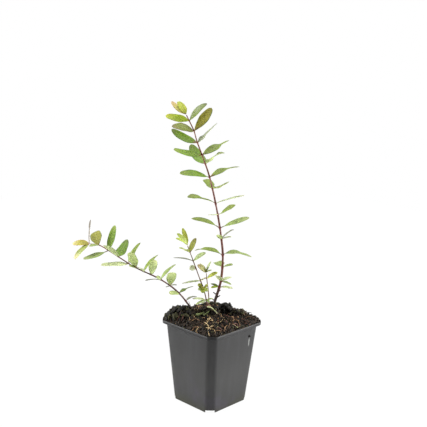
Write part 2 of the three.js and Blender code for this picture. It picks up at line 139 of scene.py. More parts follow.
class Noise:
    """Smooth random fields of position, the same in each run."""

    values: int = 8192
    mixers: tuple[int, int, int] = (73856093, 19349663, 83492791)
    layer_shift: float = 17.3

    def __init__(self, seed: int) -> None:
        """Deal out the random values of the lattice from a seed."""
        self.table = np.random.default_rng(seed).uniform(-1.0, 1.0, self.values)

    def at(self, points: Array, size: float) -> Array:
        """Blend the values at the eight corners of each point's cell, with smoothed weights.

        Args:
            points: Places, three numbers in the last axis.
            size: Breadth of a cell.

        Returns:
            A value between -1 and 1 for each point.
        """
        place = points / size
        cell = np.floor(place).astype(np.int64)
        part = place - cell
        part = part * part * (3 - 2 * part)
        total = np.zeros(points.shape[:-1])
        for corner in np.ndindex(2, 2, 2):
            x, y, z = np.moveaxis((cell + np.array(corner)) * np.array(self.mixers), -1, 0)
            key = x ^ y ^ z
            weight = np.prod(np.where(np.array(corner) == 1, part, 1 - part), axis=-1)
            total += weight * self.table[key % self.table.size]
        return total

    def layered(self, points: Array, size: float, layers: int, keep: float = 0.5) -> Array:
        """Add finer and weaker fields, each of half the cell.

        Args:
            points: Places, three numbers in the last axis.
            size: Breadth of the coarsest cell.
            layers: How many fields are added.
            keep: Strength of a field against the coarser one.

        Returns:
            A value for each point.
        """
        total = np.zeros(points.shape[:-1])
        for layer in range(layers):
            total += keep**layer * self.at(points + self.layer_shift * layer, size / 2**layer)
        return total


def loft_faces(rows: int, columns: int, copies: int) -> tuple[Array, Array]:
    """Number the faces of closed lofts: a first point, rings of points, and a last point.

    Args:
        rows: Rings in a loft.
        columns: Points in a ring.
        copies: Lofts that follow each other.

    Returns:
        Quads between neighbouring rings, and triangles from the end rings to the end points.
    """
    row, column = np.arange(rows - 1)[:, None], np.arange(columns)[None, :]
    here, after = 1 + row * columns + column, 1 + row * columns + (column + 1) % columns
    quads = np.stack([here, after, after + columns, here + columns], axis=-1).reshape(-1, 4)
    ring, turned = np.arange(columns), (np.arange(columns) + 1) % columns
    last = 1 + rows * columns
    head = np.stack([np.zeros_like(ring), 1 + turned, 1 + ring], axis=-1)
    tail = np.stack([np.full_like(ring, last), last - columns + ring, last - columns + turned], axis=-1)
    step = (np.arange(copies) * (last + 1))[:, None, None]
    fans = np.concatenate([head, tail])
    return (quads[None] + step).reshape(-1, 4), (fans[None] + step).reshape(-1, 3)


class Skin:
    """Gathers closed lofts, in the plant's millimetres, into one mesh."""

    def __init__(self) -> None:
        """Start with nothing gathered."""
        self.points: list[Array] = []
        self.maps: list[Array] = []
        self.quads: list[Array] = []
        self.fans: list[Array] = []
        self.quad_finish: list[Array] = []
        self.fan_finish: list[Array] = []
        self.count = 0

    def add(
        self, rings: Array, first: Array, last: Array, finish: Array | int = 0, places: Array | None = None
    ) -> None:
        """Add closed lofts. Each ring runs counter-clockwise about the way from ring to ring.

        Args:
            rings: Points, as lofts, rings, points of a ring, three numbers.
            first: The closing point before the first ring of each loft.
            last: The closing point after the last ring of each loft.
            finish: Number of the material, for each loft, or for each loft, gap between rings and column.
            places: Pattern places, as rings but with two numbers.
        """
        lofts, rows, columns = rings.shape[:3]
        quads, fans = loft_faces(rows, columns, lofts)
        inner = rings.reshape(lofts, rows * columns, 3)
        self.points.append(np.concatenate([first[:, None], inner, last[:, None]], axis=1).reshape(-1, 3))
        if places is None:
            self.maps.append(np.zeros((lofts * (rows * columns + 2), 2)))
        else:
            middle = places.reshape(lofts, rows * columns, 2)
            head, tail = places[:, 0].mean(axis=1), places[:, -1].mean(axis=1)
            self.maps.append(np.concatenate([head[:, None], middle, tail[:, None]], axis=1).reshape(-1, 2))
        given = np.asarray(finish)
        if given.ndim == 1:
            given = given[:, None, None]
        dealt = np.broadcast_to(given, (lofts, rows - 1, columns))
        self.quad_finish.append(dealt.reshape(-1))
        self.fan_finish.append(np.concatenate([dealt[:, 0], dealt[:, -1]], axis=1).reshape(-1))
        self.quads.append(quads + self.count)
        self.fans.append(fans + self.count)
        self.count += len(self.points[-1])

    def build(self, name: str, materials: list[bpy.types.Material], turned: bool = True) -> bpy.types.Object:
        """Put the gathered shapes into one object at the origin, in the part's frame and in metres.

        Args:
            name: Name of the object.
            materials: Materials in the order of the finish numbers.
            turned: Whether the points are in the plant's frame.

        Returns:
            The object, linked to the scene.
        """
        points = np.concatenate(self.points)
        places = np.concatenate(self.maps)
        quads, fans = np.concatenate(self.quads), np.concatenate(self.fans)
        loops = np.concatenate([quads.ravel(), fans.ravel()])
        starts = np.concatenate([np.arange(len(quads)) * 4, len(quads) * 4 + np.arange(len(fans)) * 3])
        finishes = np.concatenate(self.quad_finish + self.fan_finish)
        mesh = bpy.data.meshes.new(name)
        mesh.vertices.add(len(points))
        mesh.vertices.foreach_set("co", ((PLANT.to_part(points) if turned else points) * MM).ravel())
        mesh.loops.add(len(loops))
        mesh.loops.foreach_set("vertex_index", loops.astype(np.int32))
        mesh.polygons.add(len(starts))
        mesh.polygons.foreach_set("loop_start", starts.astype(np.int32))
        mesh.polygons.foreach_set("material_index", finishes.astype(np.int32))
        mesh.polygons.foreach_set("use_smooth", np.ones(len(starts), bool))
        layer = mesh.uv_layers.new(name="pattern")
        layer.data.foreach_set("uv", places[loops].astype(np.float32).ravel())
        for material in materials:
            mesh.materials.append(material)
        mesh.update(calc_edges=True)
        mesh.validate()
        return placed(name, mesh)


def tube(path: Array, radii: Array, sides: int) -> tuple[Array, Array, Array]:
    """Carry a circle along a path, square to it, with the path's ends as closing points.

    Args:
        path: Points of the path.
        radii: Radius at each point, or at each point and side.
        sides: Points of the circle.

    Returns:
        Rings, first points and last points of one loft.
    """
    along = unit(np.gradient(path, axis=0))
    steady = np.array([0.12, 1.0, 0.05])
    across = unit(np.cross(steady, along))
    rise = np.cross(along, across)
    turn = circle(sides)
    spread = radii if radii.ndim == 2 else radii[:, None]
    ring = across[:, None] * (spread * np.cos(turn))[..., None]
    ring = ring + rise[:, None] * (spread * np.sin(turn))[..., None]
    return (path[:, None] + ring)[None], path[None, 0], path[None, -1]


def dress(piece: bpy.types.Object, slot: str, *nodes: str) -> None:
    """Let a piece ride on the body and stand for nodes.

    Args:
        piece: The finished piece.
        slot: Material slot of the record. It is not used.
        nodes: Nodes that the piece stands for.
    """
    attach(piece, "root")
    if nodes:
        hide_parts(*nodes)
    LOG.info("%s: %d faces, stands for %d nodes", piece.name, len(piece.data.polygons), len(nodes))


class Graph:
    """Adds linked nodes to one node tree."""

    def __init__(self, tree: bpy.types.NodeTree) -> None:
        """Work in the given tree."""
        self.tree = tree

    def node(self, kind: str, inputs: dict[Any, Any] | None = None, **settings: Any) -> bpy.types.Node:
        """Add a node.

        Args:
            kind: Blender's name of the node type.
            inputs: Values or sockets for the node's inputs, by name or number.
            settings: Properties of the node.

        Returns:
            The new node.
        """
        made = self.tree.nodes.new(kind)
        for name, value in settings.items():
            setattr(made, name, value)
        for key, value in (inputs or {}).items():
            if isinstance(value, bpy.types.NodeSocket):
                self.tree.links.new(value, made.inputs[key])
            else:
                made.inputs[key].default_value = value
        return made

    def reckon(self, operation: str, *values: Any) -> Socket:
        """Add a Math node and return its value."""
        return self.node("ShaderNodeMath", dict(enumerate(values)), operation=operation).outputs[0]

    def times(self, first: Any, second: Any) -> Socket:
        """Multiply two values."""
        return self.reckon("MULTIPLY", first, second)

    def plus(self, first: Any, second: Any) -> Socket:
        """Add two values."""
        return self.reckon("ADD", first, second)

    def less(self, first: Any, second: Any) -> Socket:
        """Take the second value from the first."""
        return self.reckon("SUBTRACT", first, second)

    def rest(self, share: Any) -> Socket:
        """Give what a share leaves of one."""
        return self.less(1.0, share)

    def mix(self, share: Any, first: Any, second: Any) -> Socket:
        """Blend two colours and return the result."""
        return self.node("ShaderNodeMix", {0: share, 6: first, 7: second}, data_type="RGBA").outputs[2]

    def over(self, colour: Any, share: Any, strength: Any, laid: Colour) -> Socket:
        """Lay one colour over another, as strongly as a share times a strength."""
        return self.mix(self.times(share, strength), colour, paint(laid))

    def step(self, value: Any, low: float, high: float) -> Socket:
        """Rise smoothly from 0 at low to 1 at high."""
        inputs = {"Value": value, "From Min": low, "From Max": high}
        return self.node("ShaderNodeMapRange", inputs, interpolation_type="SMOOTHSTEP").outputs[0]

    def stretch(self, vector: Any, scale: Place) -> Socket:
        """Scale a vector."""
        return self.node("ShaderNodeMapping", {"Vector": vector, "Scale": scale}).outputs[0]

    def noise(self, vector: Any, scale: Any, detail: float, rough: float = 0.5) -> Socket:
        """Add a cloudy pattern and return its value."""
        inputs = {"Vector": vector, "Scale": scale, "Detail": detail, "Roughness": rough}
        return self.node("ShaderNodeTexNoise", inputs).outputs[0]


class PatternGroups:
    """Shader node groups that several materials use, each built once."""

    def __init__(self) -> None:
        """Build the groups."""
        self.mottle = self.build_mottle()
        self.leaf = self.build_leaf()

    def begin(self, name: str, shapes: dict[str, str], colours: tuple[str, ...]) -> tuple[Graph, Any, Any]:
        """Start a group that is given named sockets, and gives a colour and the height of a relief.

        Args:
            name: Name of the group.
            shapes: Kind of each socket that isn't a colour, by name.
            colours: Names of the colour sockets.

        Returns:
            The graph, the sockets that the group is given, and those that it gives.
        """
        tree = bpy.data.node_groups.new(name, "ShaderNodeTree")
        given = shapes | dict.fromkeys(colours, "Color")
        for side, kinds in (("INPUT", given), ("OUTPUT", {"Colour": "Color", "Height": "Float"})):
            for title, kind in kinds.items():
                tree.interface.new_socket(title, in_out=side, socket_type=f"NodeSocket{kind}")
        graph = Graph(tree)
        return graph, graph.node("NodeGroupInput").outputs, graph.node("NodeGroupOutput").inputs

    def build_mottle(self) -> bpy.types.NodeTree:
        """Build mottling: broad patches between two colours, fine specks of a third, and a grain height.

        Returns:
            The group.
        """
        shapes = {"Vector": "Vector", "Scale": "Float", "Speck Share": "Float"}
        graph, source, sink = self.begin("mottle", shapes, ("Base", "Patch", "Speck"))
        vector, scale = source["Vector"], source["Scale"]
        broad = graph.noise(vector, scale, 4.0, 0.6)
        fine = graph.noise(vector, graph.times(scale, 5.0), 3.0, 0.7)
        patched = graph.mix(graph.step(broad, 0.4, 0.62), source["Base"], source["Patch"])
        edge = graph.less(0.8, graph.times(source["Speck Share"], 0.5))
        specks = graph.step(graph.less(fine, edge), 0.0, 0.06)
        graph.tree.links.new(graph.mix(specks, patched, source["Speck"]), sink["Colour"])
        graph.tree.links.new(graph.plus(broad, graph.times(fine, 0.5)), sink["Height"])
        return graph.tree

    def build_leaf(self) -> bpy.types.NodeTree:
        """Build a leaf's drawing: stalk, tip and rim tints, pale midrib, faint side veins, and a relief.

        The pattern's first number runs from the foot to the tip and its second from edge to edge.

        Returns:
            The group.
        """
        shapes = {"Along": "Vector", "Vector": "Vector", "Vein": "Float"}
        colours = ("Body", "Shade", "Tip", "Rim", "Stalk", "Rib")
        graph, source, sink = self.begin("leaf_drawing", shapes, colours)
        vector, vein = source["Vector"], source["Vein"]
        along, breadth, _ = graph.node("ShaderNodeSeparateXYZ", {0: source["Along"]}).outputs
        off = graph.reckon("ABSOLUTE", graph.less(graph.times(breadth, 2.0), 1.0))
        cloud = graph.noise(vector, 260.0, 3.0, 0.6)
        colour = graph.mix(graph.step(cloud, 0.38, 0.66), source["Body"], source["Shade"])
        wander = graph.times(graph.less(graph.noise(vector, 120.0, 1.0), 0.5), 0.5)
        late = graph.plus(along, wander)
        colour = graph.mix(graph.step(late, 0.62, 1.02), colour, source["Tip"])
        slant = graph.less(graph.times(along, 9.0), graph.times(off, 1.3))
        wave = graph.reckon("ABSOLUTE", graph.reckon("COSINE", graph.times(slant, math.pi)))
        veins = graph.times(graph.reckon("POWER", wave, 9.0), graph.times(vein, 0.25))
        rib = graph.times(graph.rest(graph.step(off, 0.02, 0.13)), vein)
        drawn = graph.reckon("MAXIMUM", veins, rib)
        colour = graph.mix(drawn, colour, source["Rib"])
        colour = graph.mix(graph.step(graph.plus(off, wander), 0.86, 1.0), colour, source["Rim"])
        colour = graph.mix(graph.rest(graph.step(late, 0.0, 0.08)), colour, source["Stalk"])
        graph.tree.links.new(colour, sink["Colour"])
        graph.tree.links.new(graph.less(graph.times(cloud, 0.4), drawn), sink["Height"])
        return graph.tree


def new_material(name: str) -> tuple[bpy.types.Material, Graph]:
    """Start a material with an empty tree.

    Args:
        name: Name of the material.

    Returns:
        The material and the graph of its tree.
    """
    made = bpy.data.materials.new(name)
    made.use_nodes = True
    made.node_tree.nodes.clear()
    return made, Graph(made.node_tree)


def finish_surface(graph: Graph, inputs: dict[str, Any], height: Any, strength: float, depth: float) -> None:
    """Add the surface shader with a relief and join it to the output.

    Args:
        graph: Graph of the material.
        inputs: Values and sockets of the shader.
        height: Socket of the relief.
        strength: Strength of the relief.
        depth: Depth of the relief in metres.
    """
    bump = graph.node("ShaderNodeBump", {"Height": height, "Strength": strength, "Distance": depth})
    shader = graph.node("ShaderNodeBsdfPrincipled", inputs | {"Normal": bump.outputs[0]})
    graph.node("ShaderNodeOutputMaterial", {"Surface": shader.outputs[0]})


@dataclass(frozen=True)
class PotPlastic:
    """Dark grey moulded plastic with faint upright streaks, stains near the foot and two marks, and painted
    light: a lighter foot, and painted shade on the left face, the lip and the lip's front corner.

    The marks, a pale run and a dark spot, have their places in millimetres and half sizes in metres.
    """

    body: Colour = (47, 47, 47)
    streak: Colour = (54, 54, 55)
    violet: Colour = (60, 55, 68)
    algae: Colour = (54, 55, 38)
    # Painted light: the pale colour laid over the lower wall to lighten it
    painted_foot_light: Colour = (98, 98, 96)
    soil: Colour = (34, 26, 22)
    shade: Colour = (27, 27, 28)
    run: Colour = (196, 198, 194)
    roughness: float = 0.4
    gloss: float = 0.28
    run_place: tuple[float, float] = (22.9, 77.6)
    run_size: tuple[float, float] = (0.0007, 0.006)
    spot_place: tuple[float, float] = (22.5, 85.2)
    spot_size: tuple[float, float] = (0.0012, 0.0014)

    def material(self) -> bpy.types.Material:
        """Build the material from object coordinates, with heights in metres above the floor.

        Returns:
            The material.
        """
        made, graph = new_material("pot_plastic")
        place = graph.node("ShaderNodeTexCoord").outputs["Object"]
        x, y, high = graph.node("ShaderNodeSeparateXYZ", {0: place}).outputs
        away = graph.times(y, -1.0)
        streaks = graph.noise(graph.stretch(place, (95.0, 95.0, 9.0)), 1.0, 5.0, 0.65)
        colour = graph.mix(graph.step(streaks, 0.42, 0.7), paint(self.body), paint(self.streak))
        cloud = graph.noise(place, 38.0, 3.0, 0.55)
        violet = graph.times(graph.step(cloud, 0.5, 0.72), graph.rest(graph.step(high, 0.02, 0.06)))
        colour = graph.over(colour, violet, 0.6, self.violet)
        low = graph.rest(graph.step(graph.plus(high, graph.times(cloud, 0.02)), 0.006, 0.026))
        colour = graph.over(colour, low, 0.75, self.algae)
        # Painted light: the wall is lightened low down and left darker near the top, standing in for light
        # from the floor below and the lip's shade above
        colour = graph.over(colour, graph.rest(graph.step(high, 0.03, 0.094)), 0.16, self.painted_foot_light)
        flecks = graph.step(graph.noise(place, 900.0, 2.0, 0.6), 0.64, 0.7)
        colour = graph.over(colour, graph.times(graph.step(high, 0.086, 0.1), flecks), 0.8, self.soil)
        # Painted shade: the lip's band is darkened with the shade colour, most on the left lip
        left = graph.step(away, 0.0435, 0.0446)
        lip = graph.step(high, 0.0942, 0.0956)
        colour = graph.over(colour, lip, graph.plus(0.15, graph.times(left, 0.8)), self.shade)
        # Painted shade: the lip's front corner, which faces the dark room in front, is darkened as a painted
        # dark reflection
        corner = graph.step(graph.less(x, y), 0.0815, 0.0828)
        colour = graph.over(colour, corner, 0.8, self.shade)
        # Painted shade: the left face of the wall is darkened, less towards the foot
        wall = graph.step(graph.less(away, graph.times(high, 0.084)), 0.0322, 0.0332)
        left_wall_shade = graph.plus(0.08, graph.times(graph.step(high, 0.012, 0.05), 0.14))
        colour = graph.over(colour, wall, left_wall_shade, self.shade)
        side = graph.step(x, 0.036, 0.038)
        marks = (
            (self.run_place, self.run_size, self.run, 0.6),
            (self.spot_place, self.spot_size, self.soil, 0.85),
        )
        for (mark_y, mark_z), (wide, long), worn, strength in marks:
            across = graph.reckon("DIVIDE", graph.less(y, mark_y * MM), wide)
            down = graph.reckon("DIVIDE", graph.less(high, mark_z * MM), long)
            reach = graph.plus(graph.reckon("POWER", across, 2.0), graph.reckon("POWER", down, 2.0))
            mark = graph.times(graph.rest(graph.step(reach, 0.3, 1.1)), side)
            colour = graph.over(colour, mark, strength, worn)
        grain = graph.noise(place, 2600.0, 2.0, 0.5)
        sheen = graph.plus(self.roughness, graph.times(graph.less(cloud, 0.5), 0.16))
        shader = {"Base Color": colour, "Roughness": sheen, "Specular IOR Level": self.gloss}
        finish_surface(graph, shader, graph.plus(grain, graph.times(streaks, 1.2)), 0.35, 0.00008)
        return made


@dataclass(frozen=True)
class Litter:
    """A dry or moist plant scrap of one base colour with patches and specks."""

    name: str
    base: Colour
    patch: Colour
    speck: Colour
    roughness: float = 0.85
    scale: float = 420.0
    share: float = 0.4

    def material(self, groups: PatternGroups) -> bpy.types.Material:
        """Build the material with the mottle group.

        Args:
            groups: The shared groups.

        Returns:
            The material.
        """
        made, graph = new_material(self.name)
        place = graph.node("ShaderNodeTexCoord").outputs["Object"]
        colours = {"Base": paint(self.base), "Patch": paint(self.patch), "Speck": paint(self.speck)}
        inputs = {"Vector": place, "Scale": self.scale, "Speck Share": self.share} | colours
        mottle = graph.node("ShaderNodeGroup", inputs, node_tree=groups.mottle)
        shader = {"Base Color": mottle.outputs[0], "Roughness": self.roughness, "Specular IOR Level": 0.3}
        finish_surface(graph, shader, mottle.outputs[1], 0.7, 0.0004)
        return made


class Scrap(Enum):
    """Finishes of the compost and what lies in it."""

    SOIL = Litter("soil", (24, 18, 13), (40, 30, 20), (84, 66, 44))
    BLACK = Litter("black_crumb", (13, 12, 10), (26, 24, 19), (66, 60, 46))
    BROWN = Litter("brown_crumb", (48, 35, 23), (28, 21, 14), (116, 90, 60))
    RUST = Litter("red_bark", (80, 46, 33), (48, 29, 22), (140, 100, 74), 0.7)
    TAN = Litter("tan_bark", (128, 97, 66), (82, 58, 40), (186, 154, 114), 0.7)
    STRAW = Litter("pale_fibre", (206, 180, 134), (166, 134, 90), (230, 212, 174), 0.6)
    OLIVE = Litter("olive_crumb", (58, 56, 32), (34, 32, 20), (116, 114, 70))
    MOSS = Litter("green_scrap", (146, 154, 104), (104, 116, 66), (186, 188, 130), 0.6)
    CREAM = Litter("cream_shoot", (224, 226, 178), (200, 206, 146), (238, 238, 206), 0.5)
    FLAKE = Litter("pink_flake", (150, 106, 94), (106, 70, 62), (192, 150, 136), 0.6)


@dataclass(frozen=True)
class LeafPaint:
    """Base colours of one tint of leaf."""

    upper: Colour
    tip: Colour
    under: Colour
    rim: Colour
    stalk: Colour = (126, 108, 64)


class Tint(Enum):
    """Tints that the leaves are dealt."""

    LEMON = LeafPaint((214, 206, 104), (222, 190, 140), (220, 208, 124), (206, 150, 104))
    YOLK = LeafPaint((190, 200, 46), (176, 190, 44), (200, 202, 86), (166, 160, 60))
    LIME = LeafPaint((158, 182, 42), (188, 190, 64), (192, 200, 102), (158, 160, 66))
    PEAR = LeafPaint((138, 150, 64), (168, 156, 90), (174, 180, 104), (142, 138, 72))
    OLIVE = LeafPaint((144, 138, 38), (124, 122, 42), (156, 154, 68), (92, 112, 54))
    KHAKI = LeafPaint((132, 132, 48), (122, 122, 50), (150, 152, 74), (98, 112, 56))
    DUSK = LeafPaint((118, 128, 56), (130, 116, 80), (148, 144, 98), (112, 98, 90))
    DARK = LeafPaint((94, 110, 36), (86, 94, 40), (136, 146, 78), (70, 86, 46))
    BRIGHT = LeafPaint((110, 146, 16), (98, 114, 38), (152, 174, 66), (74, 104, 34))
    FRESH = LeafPaint((118, 150, 42), (136, 154, 66), (166, 184, 92), (90, 124, 56))
    MID = LeafPaint((128, 147, 58), (118, 130, 56), (168, 180, 102), (94, 118, 60))
    DEEP = LeafPaint((108, 128, 50), (94, 106, 48), (150, 162, 90), (76, 96, 54))
    HAZE = LeafPaint((146, 165, 94), (150, 160, 102), (182, 196, 128), (120, 140, 90))
    PALE = LeafPaint((174, 190, 120), (188, 196, 130), (204, 222, 140), (158, 176, 116))
    SAGE = LeafPaint((186, 198, 148), (192, 190, 154), (200, 214, 150), (160, 170, 138))
    GREY = LeafPaint((134, 138, 112), (104, 100, 94), (150, 150, 126), (106, 110, 106), (142, 112, 100))
    AMBER = LeafPaint((174, 166, 66), (206, 190, 140), (198, 186, 102), (186, 140, 74), (214, 166, 136))
    APPLE = LeafPaint((164, 178, 74), (152, 164, 66), (190, 200, 104), (122, 148, 66))
    CITRON = LeafPaint((182, 188, 72), (172, 180, 62), (200, 204, 104), (148, 168, 72))
    MUSTARD = LeafPaint((150, 154, 60), (132, 120, 54), (176, 174, 84), (110, 110, 60))
    TAWNY = LeafPaint((176, 174, 88), (156, 128, 76), (202, 204, 118), (134, 112, 76))
    # MIST and PEARL are lightened tints: painted light for small leaves that turn away from the lamps and
    # would render in shade
    MIST = LeafPaint((216, 228, 170), (210, 214, 164), (226, 238, 180), (186, 196, 150))
    PEARL = LeafPaint((236, 244, 196), (232, 234, 190), (240, 246, 204), (208, 214, 172))
    STALK = LeafPaint((122, 104, 70), (116, 96, 64), (130, 112, 78), (110, 84, 60), (116, 78, 60))
    SMOKE = LeafPaint((148, 156, 126), (98, 100, 86), (152, 158, 130), (116, 122, 106))
    DRY = LeafPaint((108, 102, 86), (98, 90, 82), (120, 112, 98), (92, 88, 84))


@dataclass(frozen=True)
class LeafSkin:
    """The surface of a leaf: soft gloss above, duller and paler below.

    pale is the brightness that the midrib tends to.
    """

    paint: LeafPaint
    below: bool
    pale: float = 214

    def material(self, name: str, groups: PatternGroups) -> bpy.types.Material:
        """Build the material with the leaf drawing.

        Args:
            name: Name of the material.
            groups: The shared groups.

        Returns:
            The material.
        """
        made, graph = new_material(name)
        body = self.paint.under if self.below else self.paint.upper
        shade = tuple(0.9 * part for part in body)
        rib = tuple(0.55 * part + 0.45 * self.pale for part in body)
        tip = self.paint.tip
        if self.below:
            tip = tuple(0.5 * (a + b) for a, b in zip(tip, body))
        colours = {"Body": body, "Shade": shade, "Tip": tip, "Rib": rib}
        colours |= {"Rim": self.paint.rim, "Stalk": self.paint.stalk}
        inputs = {key: paint(value) for key, value in colours.items()}
        inputs["Vein"] = 0.3 if self.below else 0.25
        inputs["Along"] = graph.node("ShaderNodeUVMap", uv_map="pattern").outputs[0]
        inputs["Vector"] = graph.node("ShaderNodeTexCoord").outputs["Object"]
        group = graph.node("ShaderNodeGroup", inputs, node_tree=groups.leaf)
        rough = 0.62 if self.below else 0.46
        shader = {"Base Color": group.outputs[0], "Roughness": rough, "Specular IOR Level": 0.4}
        finish_surface(graph, shader, group.outputs[1], 0.3, 0.0001)
        return made


@dataclass(frozen=True)
class Bark:
    """Young bark: woody foot, reddish stem, redder joints where leaves stand, and lengthwise streaks."""

    foot: Colour
    stem: Colour
    tip: Colour
    joint: Colour

    def material(self, name: str) -> bpy.types.Material:
        """Build the material. The pattern's numbers are the share of the length and the nearness of a joint.

        Args:
            name: Name of the material.

        Returns:
            The material.
        """
        made, graph = new_material(name)
        place = graph.node("ShaderNodeTexCoord").outputs["Object"]
        pattern = graph.node("ShaderNodeUVMap", uv_map="pattern").outputs[0]
        length, joint, _ = graph.node("ShaderNodeSeparateXYZ", {0: pattern}).outputs
        streaks = graph.noise(graph.stretch(place, (2400.0, 2400.0, 300.0)), 1.0, 3.0, 0.6)
        cloud = graph.noise(place, 420.0, 3.0, 0.6)
        along = graph.plus(length, graph.times(graph.less(cloud, 0.5), 0.1))
        colour = graph.mix(graph.step(along, 0.05, 0.22), paint(self.foot), paint(self.stem))
        colour = graph.mix(graph.step(along, 0.6, 1.0), colour, paint(self.tip))
        colour = graph.over(colour, joint, 0.8, self.joint)
        dark = tuple(0.6 * part for part in self.stem)
        colour = graph.over(colour, graph.step(streaks, 0.5, 0.75), 0.4, dark)
        shader = {"Base Color": colour, "Roughness": 0.55, "Specular IOR Level": 0.4}
        finish_surface(graph, shader, graph.plus(streaks, cloud), 0.5, 0.0002)
        return made


@dataclass
class Pot:
    """The square tapered pot: a shell with chamfered corners, a lip, notched feet and drain holes.

    Its sizes are in the part's frame. A half is half the breadth of the square. box_reach is how far out
    the boxes go that cut the notches, and the caps are the small outlines that close a solid.
    """

    height: float = 100.0
    lip_half: float = 45.0
    wall_top_half: float = 41.75
    base_half: float = 33.65
    lip_bottom: float = 96.5
    wall_end: float = 94.6
    wall: float = 1.1
    floor: float = 1.5
    wall_chamfer: float = 7.5
    lip_chamfer: float = 7.0
    corner_round: float = 2.6
    notch_width: float = 11.0
    notch_height: float = 3.3
    notch_inner: float = 30.0
    drain_radius: float = 2.8
    drain_reach: float = 36.0
    drain_sides: int = 24
    box_reach: float = 60.0
    cap_half: float = 4.0
    cap_chamfer: float = 1.0
    sharp_angle: float = 32.0
    side_points: int = 13
    curve_points: int = 6
    finish: PotPlastic = field(default_factory=PotPlastic)

    def wall_half(self, z: float) -> float:
        """Give the wall's half at a height."""
        return self.base_half + (self.wall_top_half - self.base_half) * z / self.lip_bottom

    def outline(self, half: float, chamfer: float) -> Array:
        """Lay points round a chamfered square, with each corner eased by a quadratic curve.

        Args:
            half: Half the square's breadth.
            chamfer: Length that the chamfer takes off each side.

        Returns:
            Points in a plane, counter-clockwise from the side towards +X.
        """
        ease = min(self.corner_round, 0.36 * chamfer)
        slant = np.array([-1.0, 1.0]) / math.sqrt(2)
        low, high = np.array([half, half - chamfer]), np.array([half - chamfer, half])
        rise = np.linspace(chamfer - half + ease, half - chamfer - ease, self.side_points)
        side = np.stack([np.full(self.side_points, half), rise], axis=-1)
        steps = np.linspace(0, 1, self.curve_points)[:, None]
        w = steps[1:-1]
        bends = ((low - [0, ease], low, low + ease * slant), (high - ease * slant, high, high - [ease, 0]))
        curve = [(1 - w) ** 2 * a + 2 * w * (1 - w) * b + w**2 * c for a, b, c in bends]
        face = low + ease * slant + steps * (high - low - 2 * ease * slant)
        quarter = np.concatenate([side, curve[0], face, curve[1]])
        turned = [quarter, np.stack([-quarter[:, 1], quarter[:, 0]], axis=-1), -quarter]
        return np.concatenate([*turned, np.stack([quarter[:, 1], -quarter[:, 0]], axis=-1)])

    def eased(self, corners: list[tuple[float, float, float, float]]) -> list[Array]:
        """Round a profile's corners with quadratic curves.

        Args:
            corners: Height, half, chamfer and ease of each corner.

        Returns:
            Height, half and chamfer of each row.
        """
        rows: list[Array] = [np.array(corners[0][:3])]
        for before, here, after in zip(corners, corners[1:], corners[2:]):
            a, b, c = (np.array(corner[:3]) for corner in (before, here, after))
            start = b + (a - b) * min(0.45, here[3] / np.linalg.norm((a - b)[:2]))
            end = b + (c - b) * min(0.45, here[3] / np.linalg.norm((c - b)[:2]))
            steps = np.linspace(0, 1, self.curve_points if here[3] > 0 else 1)
            rows += [(1 - w) ** 2 * start + 2 * w * (1 - w) * b + w**2 * end for w in steps]
        return rows + [np.array(corners[-1][:3])]

    def solid(self, corners: list[tuple[float, float, float, float]], name: str) -> bpy.types.Object:
        """Stack outlines along a profile into a solid, closed by a small outline at each end.

        Args:
            corners: Height, half, chamfer and ease of each corner of the profile, from the bottom up.
            name: Name of the object.

        Returns:
            The solid.
        """
        low, high = ((corners[end][0], self.cap_half, self.cap_chamfer, 0.0) for end in (0, -1))
        rows = self.eased([low, *corners, high])
        rings = np.stack([raised(self.outline(half, chamfer), z) for z, half, chamfer in rows])[None]
        skin = Skin()
        skin.add(rings, np.array([[0, 0, rows[0][0]]]), np.array([[0, 0, rows[-1][0]]]))
        return skin.build(name, [], turned=False)

    def corner_boxes(
        self, inner: float, width: float, low: float, high: float, name: str
    ) -> bpy.types.Object:
        """Make four upright boxes that cross the pot's corners.

        Args:
            inner: Distance of the near side from the axis, along the diagonal.
            width: Breadth across the diagonal.
            low: Height of the underside.
            high: Height of the top.
            name: Name of the object.

        Returns:
            The boxes as one object.
        """
        reach, half = self.box_reach, width / 2
        plan = np.array([[inner, -half], [reach, -half], [reach, half], [inner, half]])
        turns = math.pi / 4 + np.arange(4) * math.pi / 2
        c, s = np.cos(turns)[:, None], np.sin(turns)[:, None]
        flat = np.stack([c * plan[:, 0] - s * plan[:, 1], s * plan[:, 0] + c * plan[:, 1]], axis=-1)
        rings = np.stack([raised(flat, z) for z in (low, high)], axis=1)
        skin = Skin()
        skin.add(rings, rings[:, 0].mean(axis=1), rings[:, 1].mean(axis=1))
        return skin.build(name, [], turned=False)

    def drains(self) -> bpy.types.Object:
        """Make the four upright rods that open the drain holes."""
        skin = Skin()
        for quarter in range(4):
            turn = math.pi / 4 + quarter * math.pi / 2
            place = np.array([math.cos(turn), math.sin(turn), 0]) * self.drain_reach
            path = place + np.array([[0.0, 0, -5], [0, 0, 1], [0, 0, 9]])
            skin.add(*tube(path, np.full(len(path), self.drain_radius), self.drain_sides))
        return skin.build("drain_rods", [], turned=False)

    def carve(self, target: bpy.types.Object, cutter: bpy.types.Object) -> None:
        """Cut one solid out of another and remove the cutter.

        Args:
            target: Solid that is cut.
            cutter: Solid that is taken away.
        """
        modifier = target.modifiers.new("carve", "BOOLEAN")
        modifier.operation, modifier.object, modifier.solver = "DIFFERENCE", cutter, "EXACT"
        shaped = target.evaluated_get(bpy.context.evaluated_depsgraph_get())
        mesh = bpy.data.meshes.new_from_object(shaped)
        target.modifiers.clear()
        target.data = mesh
        bpy.data.objects.remove(cutter)

